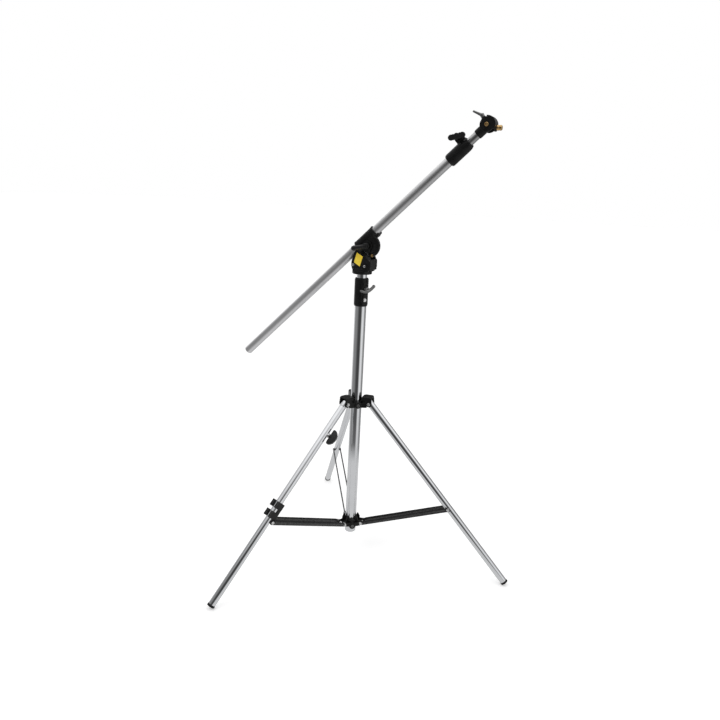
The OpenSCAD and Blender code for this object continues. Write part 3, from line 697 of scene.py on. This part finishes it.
def brace(side):
    """Two flat straps with a bolt low in a tapered nose, and stub rivets where they meet the leg."""
    hub_at = HUB_PIVOTS[side]
    low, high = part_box(f"brace_rivets_{side}")
    reach = (low + high) / 2 - hub_at
    tangent = joint_axis(f"brace_{side}_fold") * -1
    shape = place(hub_at, reach, reach.cross(tangent))
    length = reach.length / MM
    inner = 17.4 if side == "left" else 13.4
    face = inner + STRAP_T
    half = STRAP_H / 2
    outline = rounded([(-half, -half, 5), (length + half, -half, 4), (length + half, half - 6, 4),
                       (length - 2, half, 4), (14, half, 4), (-half + 1, half - 3, 5)])
    straps, rivets = Solid(), Solid()
    for near, far in ((inner, face), (-face, -inner)):
        straps.plate(outline, near, far)
    for turn in BOTH_ENDS:
        at = move(length) @ ALONG_Y @ turn
        rivets.rod(3, inner - 0.2, face + 0.3, at, segments=48)
        rivets.lathe(rounded([(0, face + 0.05), (6, face + 0.05), (5.6, face + 1.6, 1.0), (0, face + 2.3)],
                             closed=False), at, segments=48)
    holes = Drill().rod(BOLT_R + FIT, -30, 30, ALONG_Y, segments=48)
    holes.rod(3.03, -30, 30, move(length) @ ALONG_Y, segments=48)
    make(f"brace_{side}_straps", straps, f"brace_{side}_link", POWDER, at=shape,
         replaces=[f"brace_{side}"], bevel=0.45, cut=holes)
    make(f"brace_{side}_rivet_heads", rivets, f"brace_{side}_link", STEEL, at=shape,
         replaces=[f"brace_rivets_{side}"])


# ---------------------------------------------------------------- riser collar

RISER_R = 17.5


def riser_collar():
    low, high = box_mm("riser_collar")
    z0, z1 = low.z, high.z
    mid = CLAMP_Z / MM
    body = Solid().lathe(rounded([(17, z0, 0.5), (22, z0, 1.5), (24, z0 + 5, 2), (24, z1 - 5, 3),
                                  (21.5, z1, 2), (17, z1, 0.5)]), closed=True)
    clamp = spin(heading(CLAMP_AXIS))
    raised = rounded([(14, -11.5), (24, -11.5, 3), (27.3, -7, 3), (27.3, 7, 3), (24, 11.5, 3), (14, 11.5)])
    body.slab(raised, z0 + 18, z1 - 14, clamp)
    for side in (-1, 1):
        horn = rounded([(17, side * 3.5), (26.5, side * 4, 2), (25.5, side * 11, 3), (17, side * 12)])
        body.slab(horn, z1 - 18, z1 - 3, clamp)
    body.rod(9.5, 16, 30, clamp @ move(z=mid) @ ALONG_X, edge=2)
    body.rod(6.0, 16, 29, clamp @ move(z=z0 + 40) @ ALONG_X, edge=2.5)
    body.rod(7.0, 16, 27.4, clamp @ move(z=z0 + 24) @ ALONG_X, edge=1)
    bore = Drill().rod(COLUMN_R + 0.04, z0 - 5, box_mm("column_tube")[1].z + 0.2)
    bore.rod(RISER_R + FIT, z0, z1 + 10)
    bore.rod(BOLT_R + FIT, 20, 45, clamp @ move(z=mid) @ ALONG_X, segments=48)
    make("riser_collar_body", body, "root", POWDER, replaces=["riser_collar"],
         cast=0.8, soften=3, cut=bore)
    bolt = Solid().rod(6.2, 27.0, 28.1, clamp @ move(z=z0 + 24) @ ALONG_X, edge=0.3)
    bolt.hexagon(5.3, 28, 31, clamp @ move(z=z0 + 24) @ ALONG_X)
    make("riser_collar_bolt_head", bolt, "root", STEEL, replaces=["riser_collar_bolt"])
    screw = Solid().rod(BOLT_R, RISER_R + 0.2, 40, clamp @ move(z=mid) @ ALONG_X)
    make("riser_clamp_stud", screw, "riser_clamp", STEEL, replaces=["riser_clamp_screw"])
    wing = Solid().rod(7.2, 31, 43, ALONG_X, edge=1.2)
    wing.sweep([(42, -25, -4), (43, -17, -7), (44, -8, -7.5), (44.5, 0, -5.5), (45, 9, -1), (45.5, 17, 5),
                (45.5, 22, 10.5)], [3.8, 4.4, 5.2, 6.6, 5.6, 5.2, 5.6])
    make("riser_wing_handle", wing, "riser_clamp", ZINC, at=CLAMP_PLACE,
         replaces=["riser_clamp_handle"], cast=0.5, soften=6)
    riser_low, riser_high = box_mm("riser_tube")
    tube = Solid().tube(RISER_R, 15.7, riser_low.z, riser_high.z)
    make("riser_tube_chrome", tube, "head", CHROME, replaces=["riser_tube"])


# ---------------------------------------------------------------- tilting head

CHEEK_IN = 19.5
CHEEK_OUT = 25
CHEEK_FACE = 28.5
DRUM_HALF = 18
TILT_R = 6
SCREWS = ((-22, 1091), (20, 1089))
PIN_PLACE = move(17, 0, -31.3)
TILT_PLACE = place(TILT_POS, Vector((1, 0, 0)), Vector((0, -1, 0)))


def yoke():
    base = box_mm("yoke")[0].z
    eye = arc((TILT_X, TILT_Z), 17, -25, 200, 30)
    cheek = rounded([(-21, base + 9, 2), (32, base + 9, 2), (42, base + 25, 3), (42, base + 47, 1),
                     (31, base + 72, 6)]) + eye + rounded([(-21, base + 72, 8), (-30, base + 40, 10),
                                                           (-28, base + 22, 8)])
    shoulder = rounded([(-21, base + 9, 2), (32, base + 9, 2), (42, base + 25, 4), (42, base + 47, 1),
                        (-4.5, base + 84, 1), (-12, base + 83, 5), (-21, base + 72, 8), (-30, base + 40, 10),
                        (-28, base + 22, 8)])
    casting = Solid()
    for side in (-1, 1):
        casting.plate(cheek, *sorted((side * (CHEEK_IN - 0.2), side * CHEEK_OUT)))
        casting.plate(shoulder, *sorted((side * (CHEEK_OUT - 1), side * CHEEK_FACE)))
    flange = [(17, base), (32.5, base, 1.5), (34, base + 3, 1.5), (34, base + 11, 1),
              (32.6, base + 12.5, 0.5), (33.2, base + 14, 1), (33.2, base + 18, 2), (29, base + 20, 2),
              (17, base + 20)]
    casting.lathe(rounded(flange), closed=True)
    casting.box((30.5, -CHEEK_FACE + 1, base + 16), (41, CHEEK_FACE - 1, base + 51.6))
    cuts = Drill().rod(RISER_R + 0.04, base - 10, base + 40)
    cuts.box((-50, -16.5, base + 10), (-22.5, 16.5, base + 40))
    cuts.rod(TILT_R + 0.05, -60, 60, move(TILT_X, 0, TILT_Z) @ ALONG_Y, segments=48)
    slope = math.degrees(math.atan2(37, 46.5))
    bevel = move(-4.5, -CHEEK_FACE, base + 84) @ spin(slope, "Y") @ spin(45, "X")
    cuts.box((-3, -10, -1.6), (61, 10, 10), bevel)
    for x, z in SCREWS:
        cuts.rod(2.6, -60, -15, move(x, 0, z) @ ALONG_Y, segments=32)
        cuts.rod(2.6, 15, 60, move(x, 0, z) @ ALONG_Y, segments=32)
    make("yoke_body", casting, "head", POWDER, replaces=["yoke"],
         cast=0.8, soften=3, cut=cuts)

    screws = Solid()
    for x, z in SCREWS:
        for turn in BOTH_ENDS:
            at = move(x, 0, z) @ ALONG_Y @ turn
            screws.rod(2.5, 22, 29, at, segments=48)
            head = [(0, CHEEK_FACE + 0.1), (4.6, CHEEK_FACE + 0.1), (4.3, CHEEK_FACE + 1.6, 1.2),
                    (2.2, CHEEK_FACE + 2.4, 0.5), (1.9, CHEEK_FACE + 1.2), (0, CHEEK_FACE + 1.2)]
            screws.lathe(rounded(head, closed=False), at, segments=48)
    make("yoke_screw_heads", screws, "head", STEEL, replaces=["yoke_screws"])

    label = Solid().plate(rounded([(-9.5, base + 73, 1), (13, base + 61, 1), (3, base + 27, 1),
                                   (-19, base + 40, 1)]), -CHEEK_FACE - 0.7, -CHEEK_FACE + 0.3)
    make("label_plate", label, "head", YELLOW, replaces=["rating_label"], bevel=0.2)

    bolt = Solid().rod(TILT_R, -CHEEK_OUT - 1, CHEEK_OUT + 13, segments=64)
    bolt.rod(11, -CHEEK_OUT - 1.4, -CHEEK_OUT - 0.1, edge=0.3)
    bolt.hexagon(9.8, CHEEK_OUT + 1.3, CHEEK_OUT + 7.5, spin(180, "X"))
    make("tilt_bolt_steel", bolt, "head", STEEL, at=TILT_PLACE, replaces=["tilt_bolt"])


def head_handle():
    body = Solid()
    body.rod(10.2, CHEEK_OUT + 0.4, CHEEK_OUT + 10, edge=1.2)
    body.rod(9, CHEEK_OUT + 9, CHEEK_OUT + 22.4, edge=2.5)
    reach = 41
    droop = math.radians(193)
    points, radii = [], []
    for k in range(9):
        s = reach * k / 8
        points.append((s * math.cos(droop), s * math.sin(droop), CHEEK_OUT + 17.2 + 1.4 * k / 8))
        radii.append(6.8 + 1.8 * (k / 8) ** 3)
    body.sweep(points, radii)
    bore = Drill().rod(TILT_R + FIT, 0, CHEEK_OUT + 13.2, segments=64)
    make("tilt_handle_grip", body, "tilt_lever", PLASTIC, at=TILT_PLACE,
         replaces=["tilt_handle"], cast=0.5, soften=5, cut=bore)


def boom_sleeve():
    sleeve = Solid()
    low, high = -25, 58
    outer = [(14, low), (19.5, low, 1), (20.2, low + 2, 1), (19, low + 6, 2), (19, high - 8, 3),
             (20.2, high - 3, 1), (20, high, 1), (14, high)]
    sleeve.lathe(rounded(outer), ALONG_X, closed=True)
    lip = [(high - 14, -8), (high + 4.5, -14, 2), (high + 4.5, -20.5, 2), (high - 4, -22.5, 4),
           (high - 18, -19)]
    sleeve.plate(rounded(lip), -9, 9)
    drum = BOOM_PLACE.inverted() @ place(TILT_POS, Vector((1, 0, 0)), UP)
    front = [(0, -DRUM_HALF), (33, -DRUM_HALF, 1), (34.5, -DRUM_HALF + 0.9, 1), (38.5, -DRUM_HALF + 0.9, 2),
             (41, -DRUM_HALF + 4, 4), (41, -6, 6), (38, 2, 8), (33, 11, 6), (29.5, DRUM_HALF, 2),
             (0, DRUM_HALF)]
    shell = Solid().lathe(rounded(front, closed=False), drum @ ALONG_Y)
    above = Solid().box((-120, -60, 2), (120, 60, 120))
    drum_obj = to_object(shell, "drum_blank")
    knife = to_object(above, "drum_knife")
    drill(drum_obj, knife)
    bpy.context.view_layer.update()
    trimmed = drum_obj.evaluated_get(bpy.context.evaluated_depsgraph_get())
    sleeve.bm.from_mesh(trimmed.to_mesh())
    trimmed.to_mesh_clear()
    for extra in (drum_obj, knife):
        bpy.data.objects.remove(extra)
    cuts = Drill().rod(15.06, -120, 120, ALONG_X)
    cuts.rod(TILT_R + FIT, -60, 60, drum @ ALONG_Y, segments=48)
    cuts.rod(5.05, -60, -12, drum @ PIN_PLACE @ ALONG_Y, segments=48)
    ridge = drum @ move(8.9, 0, -22.7) @ spin(-22.8, "Y")
    cuts.box((0, -30, -30), (50, -DRUM_HALF + 3.5, 0), ridge)
    cuts.rod(3.06, 8, 60, move(50) @ ALONG_Y, segments=32)
    make("boom_sleeve_body", sleeve, "boom_head", POWDER, at=BOOM_PLACE,
         replaces=["boom_sleeve"], cast=0.8, soften=4, cut=cuts)
    dome = [(0, -DRUM_HALF - 0.6), (3.6, -DRUM_HALF - 0.6, 0.3), (5, -DRUM_HALF - 0.1, 0.3), (5, -12.1, 0.4),
            (0, -12.1)]
    plug = Solid().lathe(rounded(dome, closed=False), ALONG_Y)
    make("drum_plug_brass", plug, "boom_head", BRASS, at=BOOM_PLACE @ drum @ PIN_PLACE,
         replaces=["drum_pin"])
    knob = Solid().rod(3, 15.2, 27, ALONG_Y, segments=48)
    star = [((13.2 + 1.2 * math.cos(6 * a)) * math.cos(a), (13.2 + 1.2 * math.cos(6 * a)) * math.sin(a))
            for a in (2 * math.pi * k / 72 for k in range(72))]
    knob.plate(star, 26, 38).rod(8, 20.6, 27, ALONG_Y)
    make("boom_lock_grip", knob, "boom_lock", PLASTIC, at=BOOM_PLACE @ move(50),
         replaces=["boom_lock_knob"], bevel=1.4)


# ---------------------------------------------------------------- boom

BOOM_R = 15
BOOM_BORE_R = 13.5
EXT_R = 12.5
COLLAR_AT = 383
BOOM_LOW = -647


def boom():
    tube = Solid().tube(BOOM_R, BOOM_BORE_R, BOOM_LOW + 3, COLLAR_AT + 57, ALONG_X)
    make("boom_tube_satin", tube, "boom", SATIN, at=BOOM_PLACE, replaces=["boom_tube"])
    plug_r = BOOM_BORE_R - 0.04
    dome = [(0, BOOM_LOW), (9, BOOM_LOW, 3), (13, BOOM_LOW + 0.4, 1.5), (BOOM_R, BOOM_LOW + 2.9, 0.8),
            (plug_r, BOOM_LOW + 2.9), (plug_r, BOOM_LOW + 20, 1), (0, BOOM_LOW + 20)]
    cap = Solid().lathe(rounded(dome, closed=False), ALONG_X)
    make("boom_end_cap_moulding", cap, "boom", PALE_PLASTIC, at=BOOM_PLACE,
         replaces=["boom_end_cap"])


CLAMP_AT = COLLAR_AT + 68
CLAMP_UP = 34


def boom_collar():
    end = COLLAR_AT + 84
    body = Solid().lathe(rounded([(12, COLLAR_AT), (18.5, COLLAR_AT, 1.5), (21, COLLAR_AT + 5, 2.5),
                                  (21, end - 12, 6), (18.2, end - 2, 3), (16.8, end, 1), (12, end)]), ALONG_X,
                         closed=True)
    lug = rounded([(CLAMP_AT - 15, 8), (CLAMP_AT - 15, CLAMP_UP + 4, 7), (CLAMP_AT - 4, CLAMP_UP + 9.5, 7),
                   (CLAMP_AT + 9, CLAMP_UP + 6, 7), (CLAMP_AT + 14, 14, 6), (CLAMP_AT + 15, 8)])
    body.plate(lug, -10, 10)
    cuts = Drill().rod(BOOM_R + 0.04, COLLAR_AT - 10, COLLAR_AT + 57.2, ALONG_X)
    cuts.rod(EXT_R + FIT, COLLAR_AT, end + 10, ALONG_X)
    cuts.box((CLAMP_AT - 22, -1, 5), (CLAMP_AT + 60, 1, 60))
    cuts.rod(3.06, -30, 30, move(CLAMP_AT, 0, CLAMP_UP) @ ALONG_Y, segments=32)
    make("boom_collar_body", body, "boom", POWDER, at=BOOM_PLACE, replaces=["boom_collar"],
         cast=0.7, soften=4, cut=cuts)
    at = BOOM_PLACE @ move(CLAMP_AT, 0, CLAMP_UP)
    nut = Solid().hexagon(6, 10.1, 15, ALONG_Y)
    make("extension_nut", nut, "boom", STEEL, at=at, replaces=["extension_clamp_nut"],
         cut=Drill().rod(3.06, 0, 30, ALONG_Y, segments=48))
    turned = at @ spin(30, "Y")
    grip = Solid()
    for x, radius in ((0, 9.8), (-11, 8.6), (11, 8.6), (-18, 8.6), (18, 8.6)):
        grip.rod(radius, -33, -21.7, move(x) @ ALONG_Y, edge=2.5)
    grip.rod(9, -26, -10.4, ALONG_Y, edge=0.8)
    grip.rod(3, -30, 14, ALONG_Y, edge=0.4)
    make("extension_knob_grip", grip, "extension_lock", PLASTIC, at=turned,
         replaces=["extension_knob"], cast=0.5, soften=4)
    low, high = 180, TIP_AT - 16
    tube = Solid().tube(EXT_R, EXT_R - 1.5, low, high, ALONG_X)
    make("extension_tube_chrome", tube, "extension", DULL, at=BOOM_PLACE,
         replaces=["extension_tube"])


# ---------------------------------------------------------------- tip

TIP_PLACE = place(TIP_POS, BOOM_DIR, Vector((-BOOM_DIR.z, 0, BOOM_DIR.x)))
PLATE_IN = 15.4
PLATE_OUT = 20
LEVER_AZ = rise(joint_axis("tip_lever_turn")) - BOOM_RISE
PLATE_R = 21.4
SPIGOT_DROP = 8


def tip():
    barrel = Solid().lathe(rounded([(0, -41), (12, -41), (14.6, -41, 1.2), (15.0, -34, 3), (15.0, -14, 6),
                                    (15.0, 2, 8), (11, 11, 6), (0, 11.5)], closed=False), ALONG_X)
    cuts = Drill().rod(EXT_R + 0.04, -60, -15.9, ALONG_X).rod(5.05, -30, 30, ALONG_Y, segments=48)
    make("tip_barrel_body", barrel, "extension", POWDER, at=TIP_PLACE,
         replaces=["tip_barrel"], cut=cuts)
    bolt = Solid().rod(5, -PLATE_OUT, PLATE_OUT + 3, ALONG_Y, segments=64)
    bolt.rod(9, PLATE_OUT + 0.1, PLATE_OUT + 4, ALONG_Y, edge=0.8)
    head = [(0, -PLATE_OUT - 1.2), (2.6, -PLATE_OUT - 1.2), (3.0, -PLATE_OUT - 3.6, 0.3),
            (5.2, -PLATE_OUT - 3.6, 0.8), (6.2, -PLATE_OUT - 2.6, 0.6), (6.2, -PLATE_OUT - 0.1, 0.3),
            (0, -PLATE_OUT - 0.1)]
    bolt.lathe(rounded(head, closed=False), ALONG_Y)
    make("tip_bolt_brass", bolt, "tip", BRASS, at=TIP_PLACE, replaces=["tip_bolt"])

    holder = Solid()
    disc = arc((0, 0), PLATE_R, 0, 357, 96)
    for near, far in ((PLATE_IN, PLATE_OUT), (-PLATE_OUT, -PLATE_IN)):
        holder.plate(disc, near, far)
    crescent = arc((0, 0), 26, -75, 52, 40) + arc((0, 0), 19.4, 52, -75, 40)
    holder.plate(crescent, -PLATE_OUT, PLATE_OUT)
    strap = arc((0, 0), PLATE_R + 1, 48, 98, 16) + arc((0, 0), 19.4, 98, 48, 16)
    holder.plate(strap, -PLATE_OUT, PLATE_OUT)
    level = spin(BOOM_RISE, "Y") @ move(z=-SPIGOT_DROP)
    holder.rod(11, 20, 26.5, level @ ALONG_X, edge=1)
    holder.rod(7.5, 20, 26, spin(-LEVER_AZ, "Y") @ ALONG_X, edge=1)
    cuts = Drill().rod(5.06, -40, 40, ALONG_Y, segments=48)
    cuts.rod(6.05, 10, 40, level @ ALONG_X, segments=48)
    cuts.rod(3.06, 10, 40, spin(-LEVER_AZ, "Y") @ ALONG_X, segments=48)
    make("spigot_bracket", holder, "tip", POWDER, at=TIP_PLACE, replaces=["spigot_holder"],
         cast=0.6, soften=3, cut=cuts)

    stud = Solid().lathe(rounded([(0, 19), (6, 19, 0.5), (6, 28, 0.3), (7.94, 28, 0.5), (7.94, 33, 0.3),
                                  (7.3, 33.6, 0.3), (7.3, 35.4, 0.3), (7.94, 36, 0.3), (7.94, 40, 1.5),
                                  (6.2, 43, 1.5), (0, 43)], closed=False), level @ ALONG_X)
    make("spigot_turned", stud, "tip", BRASS, at=TIP_PLACE, replaces=["spigot"])

    lever_place = TIP_PLACE @ spin(-LEVER_AZ, "Y")
    lever = Solid().rod(3, 20.2, 30, ALONG_X, segments=48)
    lever.rod(6.3, 26.4, 38, ALONG_X, edge=1.5)
    root = Vector((34, 0, 0))
    lever.sweep([root + spin(-30, "Y") @ Vector((s, 0, 0)) for s in (1, 8, 15, 22, 29)],
                [5.0, 4.2, 3.6, 3.3, 3.1])
    make("spigot_lever_arm", lever, "tip_lock", ZINC, at=lever_place, replaces=["spigot_lever"],
         cast=0.45, soften=4)


# ---------------------------------------------------------------- studio

# What the tubes mirror: a room that is dark behind the camera and behind the stand, with a lit panel at
# each side and a white ceiling. Angles are degrees around from the camera, to its right.
DARK = 0.06
WALL = 0.25
PANEL = 0.80
ROOM = ((-180, DARK), (-160, PANEL), (-140, PANEL), (-100, WALL), (-60, WALL), (-20, DARK), (20, DARK),
        (45, PANEL), (70, PANEL), (100, WALL), (160, WALL), (180, DARK))
FLOOR = 0.35
CEILING = 1.00
FLOOR_BLEND = (-0.8, -0.3)
CEILING_BLEND = (0.4, 0.8)

PAPER_HALF = 40.0
PAPER_DROP = 0.0005
PAPER_LIGHT = 0.36
PAPER_GLOW = 0.62
PAPER_NEAR = 0.70
PAPER_FAR = 0.95

CAMERA_AZ = math.radians(24.33)
CAMERA_RISE = math.radians(15.26)
CAMERA_ROLL = math.radians(2.73)
CAMERA_REACH = 2.204
CAMERA_TARGET = Vector((0.0064, 0.0029, 0.7545))
SENSOR_WIDTH = 36
LENS = 31.1
VIEW_SIDE = Vector((math.cos(CAMERA_AZ), math.sin(CAMERA_AZ), 0))

LAMPS = (("key", (-1.6, -2.2, 3.2), 1.6, 14), ("fill", (2.6, -1.2, 2.4), 1.8, 8))
LAMP_TARGET = Vector((0, 0, 0.8))


def floor_paper():
    """White paper. Its near part also shows in the tubes, as a soft pale disc."""
    material = finish("pale_floor", grey(0.93), grey(0.91), (0.55, 0.65), grain=60, mottling=2, bump=0.0)
    tree = material.node_tree
    nodes = Nodes(tree)
    paper = tree.nodes["Principled BSDF"]
    paper.inputs["Emission Strength"].default_value = PAPER_LIGHT
    where = nodes.add("ShaderNodeNewGeometry").outputs["Position"]
    away = nodes.add("ShaderNodeVectorMath", {0: where}, operation="LENGTH").outputs["Value"]
    beyond = nodes.remap(away, 0, 1, PAPER_NEAR, PAPER_FAR)
    glow = nodes.add("ShaderNodeEmission", {"Color": grey(PAPER_GLOW)})
    mirrored = nodes.add("ShaderNodeMixShader", {0: beyond})
    shown = nodes.add("ShaderNodeMixShader", {0: nodes.add("ShaderNodeLightPath").outputs["Is Glossy Ray"]})
    tree.links.new(glow.outputs[0], mirrored.inputs[1])
    tree.links.new(nodes.add("ShaderNodeBsdfTransparent").outputs[0], mirrored.inputs[2])
    tree.links.new(paper.outputs[0], shown.inputs[1])
    tree.links.new(mirrored.outputs[0], shown.inputs[2])
    tree.links.new(shown.outputs[0], tree.nodes["Material Output"].inputs["Surface"])
    return material


def floor():
    half = PAPER_HALF
    corners = [(-half, -half, 0), (half, -half, 0), (half, half, 0), (-half, half, 0)]
    mesh = bpy.data.meshes.new("floor")
    mesh.from_pydata(corners, [], [(0, 1, 2, 3)])
    paper = bpy.data.objects.new("floor", mesh)
    bpy.context.scene.collection.objects.link(paper)
    paper.location.z = -PAPER_DROP
    mesh.materials.append(floor_paper())


def camera():
    level = math.cos(CAMERA_RISE)
    back = Vector((math.sin(CAMERA_AZ) * level, -math.cos(CAMERA_AZ) * level, math.sin(CAMERA_RISE)))
    up = back.cross(VIEW_SIDE)
    right = VIEW_SIDE * math.cos(CAMERA_ROLL) + up * math.sin(CAMERA_ROLL)
    top = up * math.cos(CAMERA_ROLL) - VIEW_SIDE * math.sin(CAMERA_ROLL)
    turn = Matrix((right, top, back)).transposed().to_4x4()
    viewer = bpy.data.objects.new("camera", bpy.data.cameras.new("camera"))
    bpy.context.scene.collection.objects.link(viewer)
    viewer.matrix_world = Matrix.Translation(CAMERA_TARGET + back * CAMERA_REACH) @ turn
    viewer.data.sensor_width = SENSOR_WIDTH
    viewer.data.lens = LENS
    bpy.context.scene.camera = viewer
    bpy.context.scene.view_settings.view_transform = "Standard"


def room():
    """The room that the tubes mirror. The camera itself sees plain white."""
    world = bpy.data.worlds.new("studio")
    world.use_nodes = True
    bpy.context.scene.world = world
    tree = world.node_tree
    tree.nodes.clear()
    nodes = Nodes(tree)
    direction = nodes.add("ShaderNodeTexCoord").outputs["Generated"]
    parts = nodes.add("ShaderNodeSeparateXYZ", {"Vector": direction}).outputs
    sideways = nodes.along(parts, VIEW_SIDE.x, VIEW_SIDE.y)
    forward = nodes.along(parts, VIEW_SIDE.y, -VIEW_SIDE.x)
    around = nodes.remap(nodes.math("ARCTAN2", sideways, forward), 0, 1, -math.pi, math.pi)
    light = nodes.mix(nodes.remap(parts["Z"], 0, 1, *FLOOR_BLEND), grey(FLOOR), nodes.ring(around, ROOM))
    light = nodes.mix(nodes.remap(parts["Z"], 0, 1, *CEILING_BLEND), light, grey(CEILING))
    seen = nodes.add("ShaderNodeLightPath").outputs["Is Camera Ray"]
    shade = nodes.mix(seen, light, grey(1.0))
    background = nodes.add("ShaderNodeBackground", {"Color": shade, "Strength": 1.0})
    output = nodes.add("ShaderNodeOutputWorld")
    tree.links.new(background.outputs[0], output.inputs["Surface"])


def lamps():
    """Soft discs of light that don't show in the tubes."""
    for name, where, size, power in LAMPS:
        disc = bpy.data.lights.new(name, "AREA")
        disc.shape = "DISK"
        disc.size = size
        disc.energy = power
        lamp = bpy.data.objects.new(name, disc)
        lamp.location = where
        lamp.visible_glossy = False
        lamp.rotation_euler = (LAMP_TARGET - Vector(where)).to_track_quat("-Z", "Y").to_euler()
        bpy.context.scene.collection.objects.link(lamp)


# ---------------------------------------------------------------- build

def hidden_nodes():
    """CAD nodes that stay as they are get their finish here."""
    for node, material in (("riser_bush", NYLON), ("extension_bush", NYLON), ("friction_discs", BRASS)):
        obj = frame["nodes"][node]
        obj.data.materials.clear()
        obj.data.materials.append(material)


FOOT_END_Z = 12.3
LEG_LENGTH = (PIVOT_Z - FOOT_END_Z) / math.cos(LEG_TILT)

column()
hub()
crown()
plain_leg("right", LEG_LENGTH)
plain_leg("rear", LEG_LENGTH)
levelling_leg(LEG_LENGTH)
for leg_side in LEG_SIDES:
    brace(leg_side)
riser_collar()
yoke()
head_handle()
boom_sleeve()
boom()
boom_collar()
tip()
hidden_nodes()
floor()
camera()
room()
lamps()
